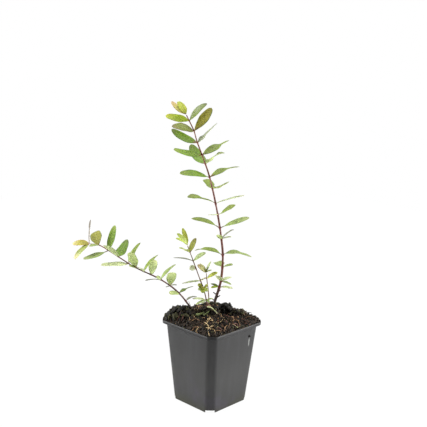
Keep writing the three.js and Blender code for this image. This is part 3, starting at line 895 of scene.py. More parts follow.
    def build(self) -> None:
        """Build the pot: the outer solid less its inside, the corner notches and the drain holes."""
        less = self.wall * (2 - math.sqrt(2))
        c, lip, wall, wide = self.wall_chamfer, self.lip_chamfer, self.wall, self.notch_width
        middle = self.height / 2
        outer = self.solid([
            (0.0, self.base_half, c, 1.1), (middle, self.wall_half(middle), c, 0.0),
            (self.wall_end, self.wall_half(self.wall_end), c, 0.9),
            (self.lip_bottom, self.lip_half, lip, 0.7), (self.height, self.lip_half, lip, 0.7)], "pot_shell")
        hollow = self.solid([
            (self.floor, self.base_half - wall, c - less, 1.0),
            (self.lip_bottom, self.wall_top_half - wall, c - less, 0.5),
            (self.lip_bottom + 1, self.lip_half - wall, lip - less, 0.5),
            (self.height - 0.4, self.lip_half - wall, lip - less, 0.3),
            (self.height + 1, self.lip_half - 0.5, lip - less, 0.0)], "pot_hollow")
        cover = self.notch_height + self.floor
        self.carve(hollow, self.corner_boxes(self.notch_inner - wall, wide + 2 * wall, 0.0, cover, "covers"))
        self.carve(outer, hollow)
        self.carve(outer, self.corner_boxes(self.notch_inner, wide, -1.0, self.notch_height, "notches"))
        self.carve(outer, self.drains())
        outer.data.materials.clear()
        outer.data.materials.append(self.finish.material())
        outer.data.polygons.foreach_set("use_smooth", np.ones(len(outer.data.polygons), bool))
        outer.data.set_sharp_from_angle(angle=math.radians(self.sharp_angle))
        dress(outer, "pot_plastic", "pot")


@dataclass(frozen=True)
class Heap:
    """A heap on the compost, in the plant's frame, and the crumbs thrown on it."""

    x: float
    y: float
    radius: float
    height: float
    crumbs: int
    size: tuple[float, float]
    scraps: tuple[Scrap, ...]


@dataclass(frozen=True)
class Strand:
    """A fibre, twig or strip that lies on the compost.

    Its points are places across the plant's frame, with a height above the surface. flat is its
    thickness as a share of its breadth, and taper what its far end keeps of the radius.
    """

    points: tuple[Place, ...]
    radius: float
    scrap: Scrap
    flat: float = 1.0
    taper: float = 0.5


@dataclass
class Compost:
    """The compost: a heaped surface in the pot, strewn with crumbs, bark, fibres and green scraps.

    wall lists the height and the half of each ring up its sides. front points to the corner that is
    nearest to the viewer, and front_limit is how far out that way the rim's crumbs may lie. Nothing that
    is strewn reaches further out than held_half.
    """

    groups: PatternGroups
    edge: float = 99.6
    crown: float = 7.5
    half: float = 43.9
    chamfer: float = 6.36
    wall: tuple[tuple[float, float], ...] = ((60.0, 21.95), (60.0, 36.8), (90.0, 39.4), (96.3, 39.9))
    surface_sides: int = 360
    surface_rows: int = 120
    heaps: tuple[Heap, ...] = (
        Heap(-39, 1, 17, 6, 150, (1.2, 4.4),
             (Scrap.BLACK, Scrap.SOIL, Scrap.BLACK, Scrap.BLACK, Scrap.OLIVE)),
        Heap(16, 13, 8, 7, 74, (1.2, 3.8), (Scrap.BLACK,)),
        Heap(31, 6, 9, 4, 56, (1.1, 3.0), (Scrap.BROWN, Scrap.OLIVE, Scrap.SOIL, Scrap.BLACK)),
        Heap(0, 0, 8, 9, 90, (0.9, 2.4), (Scrap.SOIL, Scrap.BLACK, Scrap.OLIVE, Scrap.BROWN)),
    )
    crumbs: int = 2300
    chips: int = 300
    fibres: int = 170
    rim_crumbs: int = 760
    rim_level: float = 100.1
    front_limit: float = 55.6
    held_half: float = 44.7
    lump_rings: int = 5
    lump_sides: int = 7
    strand_sides: int = 8
    fibre_sides: int = 5
    fibre_points: int = 7
    front: Array = field(default_factory=lambda: np.array([1.0, -1.0, 0.0]) / math.sqrt(2))
    noise: Noise = field(default_factory=lambda: Noise(5))
    random: np.random.Generator = field(default_factory=lambda: np.random.default_rng(11))

    def reach(self, places: Array) -> Array:
        """Measure how far places lie out on the chamfered square, 0 in the middle and 1 at its edge.

        Args:
            places: Points in the part's frame.

        Returns:
            The share of the way out.
        """
        x, y = np.abs(places[..., 0]), np.abs(places[..., 1])
        slant = (x + y) * self.half / (2 * self.half - self.chamfer)
        return np.maximum(np.maximum(x, y), slant) / self.half

    def heights(self, places: Array) -> Array:
        """Give the surface's height: an edge level, a crown that falls off at the eighth power, and heaps.

        Args:
            places: Points in the plant's frame.

        Returns:
            Height at each point.
        """
        part = PLANT.to_part(places)
        inside = 1 - np.minimum(self.reach(part), 1.0) ** 8
        level = np.full(places.shape[:-1], self.crown)
        for heap in self.heaps:
            far = np.hypot(places[..., 0] - heap.x, places[..., 1] - heap.y) / heap.radius
            level = level + heap.height * np.exp(-(far**4))
        flat = raised(places[..., :2], 0.0)
        rough = 1.1 * self.noise.layered(flat, 11.0, 2) + 0.9 * np.abs(self.noise.layered(flat, 3.4, 3, 0.6))
        return self.edge + inside * (level + rough - 0.9)

    def settle(self, flat: Array, lift: Array | float) -> Array:
        """Set places on the surface.

        Args:
            flat: Two numbers for each place across the plant's frame.
            lift: Height above the surface.

        Returns:
            Points in the plant's frame.
        """
        places = raised(flat, 0.0)
        places[..., 2] = self.heights(places) + lift
        return places

    def square(self, turns: Array) -> Array:
        """Measure how far out the chamfered square's edge lies at given angles.

        Args:
            turns: Angles in the part's frame.

        Returns:
            The distance at each angle, as a multiple of half the square's breadth.
        """
        c, s = np.abs(np.cos(turns)), np.abs(np.sin(turns))
        sides = np.minimum(1 / np.maximum(c, 1e-9), 1 / np.maximum(s, 1e-9))
        return np.minimum(sides, (2 - self.chamfer / self.half) / (c + s))

    def surface(self) -> None:
        """Build the surface and its sides: rings of a chamfered square from the bottom, up and inwards."""
        turns = circle(self.surface_sides)
        plan = polar(turns, self.square(turns)) * self.half
        shares = np.linspace(1.0, 0.02, self.surface_rows)[:, None, None]
        top = PLANT.to_plant(raised(plan * shares, 0.0))
        top[..., 2] = self.heights(top)
        below = PLANT.to_plant(np.stack([raised(plan * (half / self.half), z) for z, half in self.wall]))
        skin = Skin()
        foot, peak = np.array([[0.0, 0.0, self.wall[0][0]]]), self.settle(np.zeros((1, 2)), 0.0)
        skin.add(np.concatenate([below, top])[None], foot, peak)
        dress(skin.build("compost_surface", [Scrap.SOIL.value.material(self.groups)]), "compost", "compost")

    def lay(self, skin: Skin, name: str, scraps: list[Scrap]) -> None:
        """Draw the gathered shapes in to the rim's edge and make one piece of them."""
        skin.points = [self.held(points) for points in skin.points]
        dress(skin.build(name, [scrap.value.material(self.groups) for scrap in scraps]), "compost")

    def scatter(self, count: int, spread: float = 1.0) -> Array:
        """Deal out places over the chamfered square.

        Args:
            count: Number of places.
            spread: Share of the square that they cover.

        Returns:
            Two numbers for each place across the plant's frame.
        """
        dealt = self.random.uniform(-self.half, self.half, (count * 2, 3))
        dealt = dealt[self.reach(dealt) < 1.0][:count] * spread
        return PLANT.to_plant(dealt)[:, :2]

    def lumps(
        self, centres: Array, sizes: Array, finish: Array, sharp: float = 0.3
    ) -> tuple[Array, Array, Array, Array]:
        """Make uneven balls: rings of points, each pushed in or out, stretched and turned.

        Args:
            centres: Middle of each ball.
            sizes: Half lengths of each ball on its own three axes.
            finish: Number of each ball's material.
            sharp: How far the points stray from a round ball.

        Returns:
            Rings, first points, last points and finish numbers.
        """
        count = len(centres)
        lean = np.linspace(0.5, math.pi - 0.5, self.lump_rings)[:, None]
        turn = circle(self.lump_sides)[None, :]
        ball = np.dstack([np.sin(lean) * np.cos(turn), np.sin(lean) * np.sin(turn), -np.cos(lean) + 0 * turn])
        stray = 1 + self.random.uniform(-sharp, sharp, (count, *ball.shape[:2], 1))
        shaped = ball[None] * stray * sizes[:, None, None]
        ends = np.array([[0, 0, -1.0], [0, 0, 1.0]])[None] * sizes[:, None]
        axes = unit(self.random.normal(size=(count, 4)))
        w, x, y, z = axes.T
        turned = np.stack([
            np.stack([1 - 2 * (y * y + z * z), 2 * (x * y - z * w), 2 * (x * z + y * w)], axis=-1),
            np.stack([2 * (x * y + z * w), 1 - 2 * (x * x + z * z), 2 * (y * z - x * w)], axis=-1),
            np.stack([2 * (x * z - y * w), 2 * (y * z + x * w), 1 - 2 * (x * x + y * y)], axis=-1)], axis=1)
        rings = np.einsum("nij,nrcj->nrci", turned, shaped) + centres[:, None, None]
        tips = np.einsum("nij,nkj->nki", turned, ends) + centres[:, None]
        return rings, tips[:, 0], tips[:, 1], finish

    def strewn(self) -> None:
        """Strew the crumbs: small ones all over, and larger clods on the heaps."""
        deal = {Scrap.BLACK: 0.34, Scrap.SOIL: 0.32, Scrap.BROWN: 0.24,
                Scrap.OLIVE: 0.03, Scrap.RUST: 0.04, Scrap.TAN: 0.03}
        scraps = list(deal)
        skin = Skin()
        flat = self.scatter(self.crumbs)
        size = 0.45 + 1.5 * self.random.power(0.45, len(flat))
        sizes = size[:, None] * self.random.uniform(0.55, 1.2, (len(flat), 3))
        finish = self.random.choice(len(scraps), len(flat), p=list(deal.values()))
        skin.add(*self.lumps(self.settle(flat, 0.25 * size), sizes, finish))
        for heap in self.heaps:
            out = heap.radius * np.sqrt(self.random.uniform(0, 1, heap.crumbs))
            turn = self.random.uniform(0, 2 * math.pi, heap.crumbs)
            flat = polar(turn, out) + [heap.x, heap.y]
            size = self.random.uniform(*heap.size, heap.crumbs)
            places = self.settle(flat, 0.3 * size)
            kept = self.reach(PLANT.to_part(places)) < 1.0
            finish = self.random.choice([scraps.index(scrap) for scrap in heap.scraps], heap.crumbs)
            sizes = size[:, None] * self.random.uniform(0.5, 1.0, (heap.crumbs, 3))
            skin.add(*self.lumps(places[kept], sizes[kept], finish[kept], 0.5))
        self.rim(skin)
        self.lay(skin, "compost_crumbs", scraps)

    def rim(self, skin: Skin) -> None:
        """Lay a belt of crumbs over the top of the rim, and stick three at the wall's dark spot.

        Args:
            skin: Skin that takes them.
        """
        count = self.rim_crumbs
        turns = self.random.uniform(0, 2 * math.pi, count)
        out = self.square(turns) * (self.half + self.random.uniform(-2.6, 0.5, count))
        plan = raised(polar(turns, out), self.rim_level)
        plan = plan - np.maximum((plan @ self.front) - self.front_limit, 0.0)[:, None] * self.front
        sizes = self.random.uniform(0.5, 1.3, (count, 3))
        finish = self.random.choice(4, count, p=[0.35, 0.4, 0.2, 0.05])
        skin.add(*self.lumps(PLANT.to_plant(plan), sizes, finish))
        stuck = np.array([[41.0, 22.4, 85.4], [41.0, 23.1, 84.6], [40.9, 22.0, 86.3]])
        sizes = np.array([[0.7, 1.5, 1.6], [0.5, 1.1, 1.0], [0.4, 0.9, 0.8]])
        skin.add(*self.lumps(PLANT.to_plant(stuck), sizes, np.zeros(len(stuck), int), 0.2))

    def held(self, points: Array) -> Array:
        """Keep points inside the rim's outer edge.

        Args:
            points: Places in the plant's frame.

        Returns:
            The places, drawn in to the edge where they lay outside.
        """
        part = PLANT.to_part(points)
        out = self.reach(part) * self.half
        shrink = np.where(out > self.held_half, self.held_half / np.maximum(out, 1e-6), 1.0)[..., None]
        part[..., :2] = part[..., :2] * shrink
        return PLANT.to_plant(part)

    def shards(self) -> None:
        """Lay flat shards of bark and leaf scraps over the surface."""
        deal = {Scrap.BROWN: 0.38, Scrap.RUST: 0.12, Scrap.TAN: 0.15, Scrap.SOIL: 0.26,
                Scrap.FLAKE: 0.03, Scrap.MOSS: 0.01, Scrap.OLIVE: 0.05}
        flat = self.scatter(self.chips, 0.98)
        count = len(flat)
        long = self.random.uniform(1.0, 3.2, count)
        sizes = raised(np.stack([long, long * self.random.uniform(0.25, 0.5, count)], axis=-1), 0.28)
        finish = self.random.choice(len(deal), count, p=list(deal.values()))
        skin = Skin()
        skin.add(*self.lumps(self.settle(flat, 0.7), sizes, finish, 0.2))
        self.lay(skin, "compost_shards", list(deal))

    def laid(self) -> tuple[Strand, ...]:
        """List the strands, strips and scraps that lie at places of their own."""
        s = Scrap
        return (
            Strand(((-5.6, -3.0, 4.4), (-2.4, -5.5, 4.0), (1.7, -7.5, 4.2), (6.2, -9.0, 4.2)),
                   1.3, s.CREAM, 0.6, 0.2),
            Strand(((-3.5, -1.5, 3.4), (-2.8, -2.5, 2.8), (-1.8, -3.4, 1.6)), 1.3, s.FLAKE, 0.8, 0.6),
            Strand(((-1.9, 0.0, 3.4), (1.2, 1.0, 4.2), (5.5, 2.0, 5.2)), 1.7, s.OLIVE, 0.7),
            Strand(((0.9, -4.0, 1.4), (3.9, -3.0, 2.4), (7.5, -2.0, 4.2)), 2.0, s.BLACK, 0.8),
            Strand(((40.2, 10.5, 1.0), (44.0, 11.5, 2.6), (48.2, 12.8, 4.6)), 0.6, s.SOIL, 0.7),
            Strand(((-4.2, -16, 1.2), (-1.6, -21, 2.6), (-3.6, -27, 2.4), (-6.6, -33, 1.8), (-9.8, -38, 1.0)),
                   0.34, s.STRAW),
            Strand(((-9.0, -30, 1.6), (-6.2, -36, 2.4), (-3.8, -42, 1.8), (-1.0, -50, 1.2)), 0.36, s.STRAW),
            Strand(((1.8, -42, 2.4), (-1.6, -45, 2.2), (-4.4, -49, 1.6), (-3.4, -54, 1.0), (-2.2, -57, 0.9)),
                   0.42, s.STRAW, 0.6),
            Strand(((-6.4, -45, 2.0), (-2.6, -48, 2.2), (2.6, -50, 1.6), (4.2, -54, 1.0)), 0.3, s.STRAW),
            Strand(((-2.0, -20, 1.4), (-5.2, -24, 3.0), (-3.0, -30, 3.4), (0.4, -27, 2.6), (-1.2, -22, 1.6)),
                   0.3, s.STRAW),
            Strand(((24, -24, 1.0), (26.5, -21, 3.0), (30.5, -22, 3.2), (32.6, -26, 1.8), (30.2, -30, 1.0)),
                   0.85, s.TAN, 0.45),
            Strand(((25.6, -29, 0.8), (28.2, -26.6, 2.2), (31.0, -28.6, 1.4)), 0.6, s.FLAKE, 0.5),
            Strand(((14.8, -44, 0.8), (15.4, -40, 2.2), (17.8, -37, 2.4), (20.2, -38, 1.4)), 0.45, s.TAN),
            Strand(((19.4, -36, 0.8), (20.4, -33, 2.2), (23.4, -32, 2.2)), 0.4, s.TAN),
            Strand(((-22.5, -40, 1.0), (-19.0, -38, 1.8), (-14.6, -40, 1.4)), 0.75, s.TAN, 0.5),
            Strand(((-18.0, -44, 1.0), (-15.0, -41, 1.8), (-11.2, -41, 1.0)), 0.6, s.STRAW, 0.5),
            Strand(((-23.5, -25, 1.2), (-19.5, -22, 2.4), (-15.0, -25, 2.2), (-13.2, -30, 1.0)),
                   0.55, s.TAN, 0.6),
            Strand(((4.0, -50, 0.8), (7.4, -49, 1.8), (11.0, -47, 1.2)), 0.8, s.TAN, 0.5),
            Strand(((5.8, -45, 1.0), (8.6, -44.5, 2.2), (12.0, -45, 1.0)), 0.7, s.FLAKE, 0.6),
            Strand(((32.0, -27, 0.6), (35.5, -25, 1.6), (38.5, -23.5, 0.8)), 1.1, s.OLIVE, 0.35),
            Strand(((-41, -18, 1.0), (-38.6, -15, 2.8), (-37.0, -12, 4.2)), 0.8, s.RUST, 0.5),
            Strand(((-36, -20, 1.0), (-34.2, -17, 2.8), (-33.6, -14, 3.4)), 0.6, s.RUST, 0.6),
            Strand(((34, -15, 1.0), (38, -13, 2.2), (43, -15, 1.2)), 0.9, s.RUST, 0.5),
            Strand(((38, -19, 0.8), (42, -18, 1.6), (46, -18, 0.8)), 0.8, s.RUST, 0.5),
            Strand(((12.6, -4, 1.6), (16.4, -6, 2.6), (20.6, -9, 1.4), (23, -12, 1.0)), 0.5, s.FLAKE, 0.6),
            Strand(((20.4, -3, 1.4), (23.4, -1, 3.0), (25.4, 1, 3.2)), 1.0, s.OLIVE, 0.6),
            Strand(((-19.3, -10, 1.6), (-14.9, -8, 3.2), (-9.4, -6, 4.2)), 2.1, s.MOSS, 0.3),
            Strand(((-24.6, -13, 0.8), (-21.4, -10, 1.8), (-18.2, -9, 2.2)), 1.2, s.OLIVE, 0.3),
            Strand(((-10.4, -9, 2.2), (-6.1, -8, 3.4), (-3.0, -7, 2.6)), 1.3, s.MOSS, 0.3),
            Strand(((-5.6, -11, 1.2), (-1.3, -10.5, 2.2), (3.7, -10.5, 1.0)), 1.1, s.OLIVE, 0.35),
            Strand(((-12.0, -2, 4.0), (-9.0, -1, 5.0), (-6.0, -1.5, 3.0)), 1.2, s.OLIVE, 0.4),
            Strand(((-18.1, -4, 2.6), (-15.4, -2, 5.2), (-11.6, 0, 6.0)), 2.3, s.BROWN, 0.7),
            Strand(((-24.5, 6, 0.5), (-26.5, 8, 5.5), (-28.4, 10, 9.5)), 0.42, s.OLIVE),
            Strand(((-30.6, 6, 6.0), (-30.9, 6, 9.5), (-30.7, 6, 13.0)), 0.3, s.OLIVE),
        )

    def strands(self) -> None:
        """Lay the named strands, and fine fibres dealt over the surface, as tapered tubes."""
        scraps = list(Scrap)
        skin = Skin()
        for strand in self.laid():
            knots = np.array(strand.points)
            knots = self.settle(knots[:, :2], knots[:, 2])
            path = catmull(knots, 6 * (len(knots) - 1))
            share = np.linspace(0, 1, len(path))
            radii = strand.radius * (1 - (1 - strand.taper) * share)
            radii = radii * np.sqrt(np.clip(6 * share + 0.35, 0, 1))
            turn = circle(self.strand_sides)
            oval = np.hypot(np.cos(turn), strand.flat * np.sin(turn))
            kind = np.array([scraps.index(strand.scrap)])
            skin.add(*tube(path, radii[:, None] * oval, self.strand_sides), kind)
        choices = [scraps.index(scrap) for scrap in (Scrap.STRAW, Scrap.TAN, Scrap.BROWN, Scrap.BROWN)]
        share = np.linspace(0, 1, self.fibre_points)
        for flat in self.scatter(self.fibres, 0.95):
            heading, bend = self.random.uniform(0, 2 * math.pi), self.random.uniform(-1.2, 1.2)
            way = heading + bend * share
            length = self.random.uniform(3.0, 9.0)
            path = self.settle(flat + polar(way, length * share), 0.5 + 1.6 * np.sin(math.pi * share))
            kind = np.array([self.random.choice(choices)])
            radii = np.full(self.fibre_points, self.random.uniform(0.1, 0.24))
            skin.add(*tube(path, radii, self.fibre_sides), kind)
        self.lay(skin, "compost_strands", scraps)

    def build(self) -> None:
        """Build every piece of the compost."""
        self.surface()
        self.strewn()
        self.shards()
        self.strands()


def catmull(knots: Array, samples: int) -> Array:
    """Draw a Catmull-Rom curve of tension one half, with each end mirrored for a knot beyond it.

    Args:
        knots: Points that the curve passes.
        samples: Number of steps.

    Returns:
        Points of the curve.
    """
    line = np.vstack([2 * knots[0] - knots[1], knots, 2 * knots[-1] - knots[-2]])
    place = np.linspace(0, len(knots) - 1, samples + 1)
    index = np.minimum(place.astype(int), len(knots) - 2)
    w = (place - index)[:, None]
    a, b, c, d = (line[index + k] for k in range(4))
    out, into = 0.5 * (c - a), 0.5 * (d - b)
    return (2 * b - 2 * c + out + into) * w**3 + (-3 * b + 3 * c - 2 * out - into) * w**2 + out * w + b


@dataclass(frozen=True)
class Leaf:
    """One leaf: its heading and rise in degrees, its length, and how it is shaped and tinted.

    wide is its breadth and arch its rise above a straight line, both as shares of the length. lean turns
    the blade's top to the viewer, twist adds to it from start to stop, and flick adds to it near the tip.
    shoulder is the share of the length where the blade is broadest, and a larger blunt makes a rounder
    end. crest is where the arch is highest, hook bends the tip up, and neck is the share of a narrow
    stalk.
    """

    heading: float
    rise: float
    length: float
    tint: Tint = Tint.MID
    wide: float = 0.33
    lean: float = 10.0
    arch: float = 0.05
    twist: float = 0.0
    start: float = 0.35
    stop: float = 0.75
    shoulder: float = 0.4
    blunt: float = 2.4
    flick: float = 0.0
    crest: float = 0.5
    hook: float = 0.0
    neck: float = 0.0


@dataclass(frozen=True)
class Pair:
    """The leaves that stand at one joint, at a distance up the stem. At the tip it is None."""

    at: float | None
    leaves: tuple[Leaf, ...]


@dataclass
class Stem:
    """A stem with its bark and its leaves, in the plant's frame.

    foot and tip are its radii. clear is the gap above its tip, bud the length of the bud there, and
    bud_share how far up the bud its leaves start. root_share is how far out in the stem the other leaves
    start, as a share of its radius, and skyward how far the blades face up and not along the stem.
    foot_power shapes a blade's foot, and leaf_fold is how far its edges rise. leaf_least is the least half
    breadth of a blade, and neck_more is added to it on a narrow stalk.
    """

    name: str
    line: tuple[Place, ...]
    foot: float
    tip: float
    pairs: tuple[Pair, ...]
    bark: Bark
    stubs: tuple[Place, ...] = ()
    flare: float = 0.35
    flare_height: float = 12.0
    clear: float = 0.3
    bud: float = 3.2
    bud_share: float = 0.3
    root_share: float = 0.8
    bark_row: float = 0.9
    bark_sides: int = 16
    leaf_rows: int = 26
    leaf_columns: int = 16
    skyward: float = 0.75
    foot_power: float = 0.75
    leaf_fold: float = 0.16
    leaf_thick: float = 0.36
    leaf_least: float = 0.65
    neck_more: float = 0.35
    flick_from: float = 0.76
    flick_to: float = 0.9
    sharp_angle: float = 14.0
    noise: Noise = field(default_factory=lambda: Noise(9))

    def __post_init__(self) -> None:
        """Draw the middle line and measure its length."""
        self.path = catmull(np.array(self.line), 800)
        steps = np.linalg.norm(np.diff(self.path, axis=0), axis=1)
        self.gone = np.concatenate([[0.0], np.cumsum(steps)])
        self.length = float(self.gone[-1])

    def point(self, distance: Array | float) -> Array:
        """Find the place at a distance up the stem, or the places at several."""
        return np.stack([np.interp(distance, self.gone, self.path[:, k]) for k in range(3)], axis=-1)

    def direction(self, distance: float) -> Array:
        """Find the way that the stem runs at a distance up it."""
        before, after = max(distance - 0.5, 0.0), min(distance + 0.5, self.length)
        return unit(self.point(after) - self.point(before))

    def radius(self, distance: Array | float) -> Array:
        """Thin the stem evenly from foot to tip, with a flare at its foot.

        Args:
            distance: One distance up the stem, or several.

        Returns:
            One radius or several.
        """
        even = self.foot + (self.tip - self.foot) * np.asarray(distance) / self.length
        low = np.maximum(0, 1 - np.asarray(distance) / self.flare_height)
        return even + self.flare * self.foot * low**2

    def build_bark(self) -> None:
        """Build the bark: a tube with a swelling at each joint, two low ridges between joints and scars."""
        rows, sides = int(self.length / self.bark_row), self.bark_sides
        distance = np.linspace(0, self.length, rows)
        joints = np.array([pair.at for pair in self.pairs if pair.at is not None])
        near = np.exp(-(((distance[:, None] - joints) / 1.5) ** 2)).max(axis=1)
        count = (distance[:, None] > joints).sum(axis=1)
        turn = circle(sides)
        ridge = 0.07 * np.cos(2 * turn[None] + (count % 2)[:, None] * math.pi)
        places = np.broadcast_arrays(3.0 * np.cos(turn)[None], 3.0 * np.sin(turn)[None], distance[:, None])
        scars = self.noise.layered(np.dstack(places), 2.2, 3, 0.6)
        woody = 1 - smooth(distance, 0.03 * self.length, 0.25 * self.length)
        rough = (0.03 + 0.13 * woody[:, None]) * scars
        near = near[:, None]
        radii = self.radius(distance)[:, None] * (1 + 0.3 * near + ridge * (1 - near) + rough)
        pattern = np.dstack(np.broadcast_arrays((distance / self.length)[:, None], near, radii)[:2])[None]
        skin = Skin()
        skin.add(*tube(self.point(distance), radii, sides), 0, pattern)
        for at, heading, long in self.stubs:
            self.add_stub(skin, at, heading, long)
        name = f"{self.name}_bark"
        dress(skin.build(name, [self.bark.material(name)]), "stem_bark", self.name)

    def add_stub(self, skin: Skin, at: float, heading: float, long: float) -> None:
        """Add the short stub of a lost side shoot.

        Args:
            skin: Skin that takes it.
            at: Distance up the stem.
            heading: Its direction round the stem in degrees.
            long: Its length.
        """
        way = unit(np.array([math.cos(math.radians(heading)), math.sin(math.radians(heading)), 0.7]))
        radii = self.foot * np.array([0.6, 0.55, 0.45, 0.42, 0.4, 0.25])
        path = self.point(at) + way * (long * np.linspace(0, 1, len(radii)))[:, None]
        skin.add(*tube(path, radii, self.bark_sides // 2))

    def blade(self, skin: Skin, leaf: Leaf, at: float | None, finish: tuple[int, int], stalk: int) -> None:
        """Add one leaf by the solids' rule: a folded, arched blade on a line from the stem's side.

        The half breadth rises as a power of a sine up to the shoulder and closes like an oval beyond it.
        Each section is a flat oval whose outer parts rise with the fold, and it turns with the twist.

        Args:
            skin: Skin that takes it.
            leaf: The leaf.
            at: Distance up the stem, or None at the tip.
            finish: Numbers of the material above and below.
            stalk: Number of the stalk's material.
        """
        heading, rise = math.radians(leaf.heading), math.radians(leaf.rise)
        level = math.cos(rise)
        along = np.array([math.cos(heading) * level, math.sin(heading) * level, math.sin(rise)])
        place = self.length if at is None else at
        grows = self.direction(place)
        if at is None:
            root = self.point(place) + grows * (self.clear + self.bud_share * self.bud)
        else:
            outward = unit(along - grows * (along @ grows))
            root = self.point(place) + outward * (float(self.radius(place)) * self.root_share)
        upward = unit((1 - self.skyward) * grows + self.skyward * np.array([0.0, 0.0, 1.0]))
        normal = unit(upward - along * (upward @ along))
        side = np.cross(normal, along)
        t = np.linspace(0, 1, self.leaf_rows)[:, None]
        psi = circle(self.leaf_columns)[None, :]
        across, above = np.cos(psi), np.sin(psi)
        spare = np.clip((t - leaf.neck) / (1 - leaf.neck), 0, 1)
        rising = np.sin(math.pi / 2 * np.minimum(spare / leaf.shoulder, 1.0)) ** self.foot_power
        beyond = np.maximum(spare - leaf.shoulder, 0.0) / (1 - leaf.shoulder)
        closing = np.sqrt(np.clip(1 - beyond**leaf.blunt, 0, 1))
        spots = np.hstack([12 * t + leaf.length, 0 * t + leaf.heading, 0 * t + place])
        wobble = 1 + 0.05 * self.noise.at(spots, 2.0)[:, None]
        least = (self.leaf_least + self.neck_more * (t < leaf.neck)) * np.minimum(1.0, 40 * (1 - t) + 0.3)
        half = np.maximum(leaf.length * leaf.wide / 2 * rising * closing * wobble, least)
        turned = leaf.lean + leaf.twist * smooth(t, leaf.start, leaf.stop)
        turned = turned + leaf.flick * smooth(t, self.flick_from, self.flick_to)
        turn = math.copysign(1.0, along[0]) * np.radians(turned)
        sided = side * np.cos(turn) + normal * np.sin(turn)
        upright = normal * np.cos(turn) - side * np.sin(turn)
        climb = t ** (math.log(0.5) / math.log(leaf.crest))
        middle = root + along * leaf.length * t + normal * (4 * leaf.arch * leaf.length * climb * (1 - climb))
        middle = middle + normal * (leaf.hook * leaf.length * t**3)
        lift = self.leaf_fold * np.abs(across) ** 1.4 * half * np.minimum(1.0, t / 0.125)
        ripple = 0.05 * half * across**2 * np.sin(9 * t + 1.7 * leaf.heading + np.sign(across))
        thick = self.leaf_thick * above * (1 - 0.3 * across**2) * np.minimum(1.0, 12 * (1 - t) + 0.25)
        rings = middle[:, None] + sided[:, None] * (half * across)[..., None]
        rings = rings + upright[:, None] * (lift + ripple + thick)[..., None]
        first, last = root - along * 0.4, middle[-1] - along * 0.05
        places = np.dstack(np.broadcast_arrays(t, (across + 1) / 2))[None]
        dealt = np.where(np.arange(self.leaf_columns) < self.leaf_columns / 2, finish[0], finish[1])
        spread = np.where(t[1:] < leaf.neck, stalk, dealt)[None]
        skin.add(rings[None], first[None], last[None], spread, places)

    def build_leaves(self, groups: PatternGroups) -> None:
        """Build the leaves of every joint and of the tip as one piece.

        Args:
            groups: The shared pattern groups.
        """
        tints = list(dict.fromkeys(leaf.tint for pair in self.pairs for leaf in pair.leaves)) + [Tint.STALK]
        skin = Skin()
        for pair in self.pairs:
            for leaf in pair.leaves:
                number = tints.index(leaf.tint) * 2
                self.blade(skin, leaf, pair.at, (number, number + 1), len(tints) * 2 - 2)
        materials = []
        for tint in tints:
            for below, word in ((False, "upper"), (True, "under")):
                name = f"leaf_{tint.name.lower()}_{word}"
                known = bpy.data.materials.get(name)
                materials.append(known or LeafSkin(tint.value, below).material(name, groups))
        short = self.name.removesuffix("_stem")
        nodes = [f"{short}_leaves_{count + 1:02d}" for count in range(len(self.pairs) - 1)]
        made = skin.build(f"{short}_leaves", materials)
        made.data.set_sharp_from_angle(angle=math.radians(self.sharp_angle))
        dress(made, "leaf", *nodes, f"{short}_tip_leaves")

    def build(self, groups: PatternGroups) -> None:
        """Build the bark and the leaves."""
        self.build_bark()
        self.build_leaves(groups)


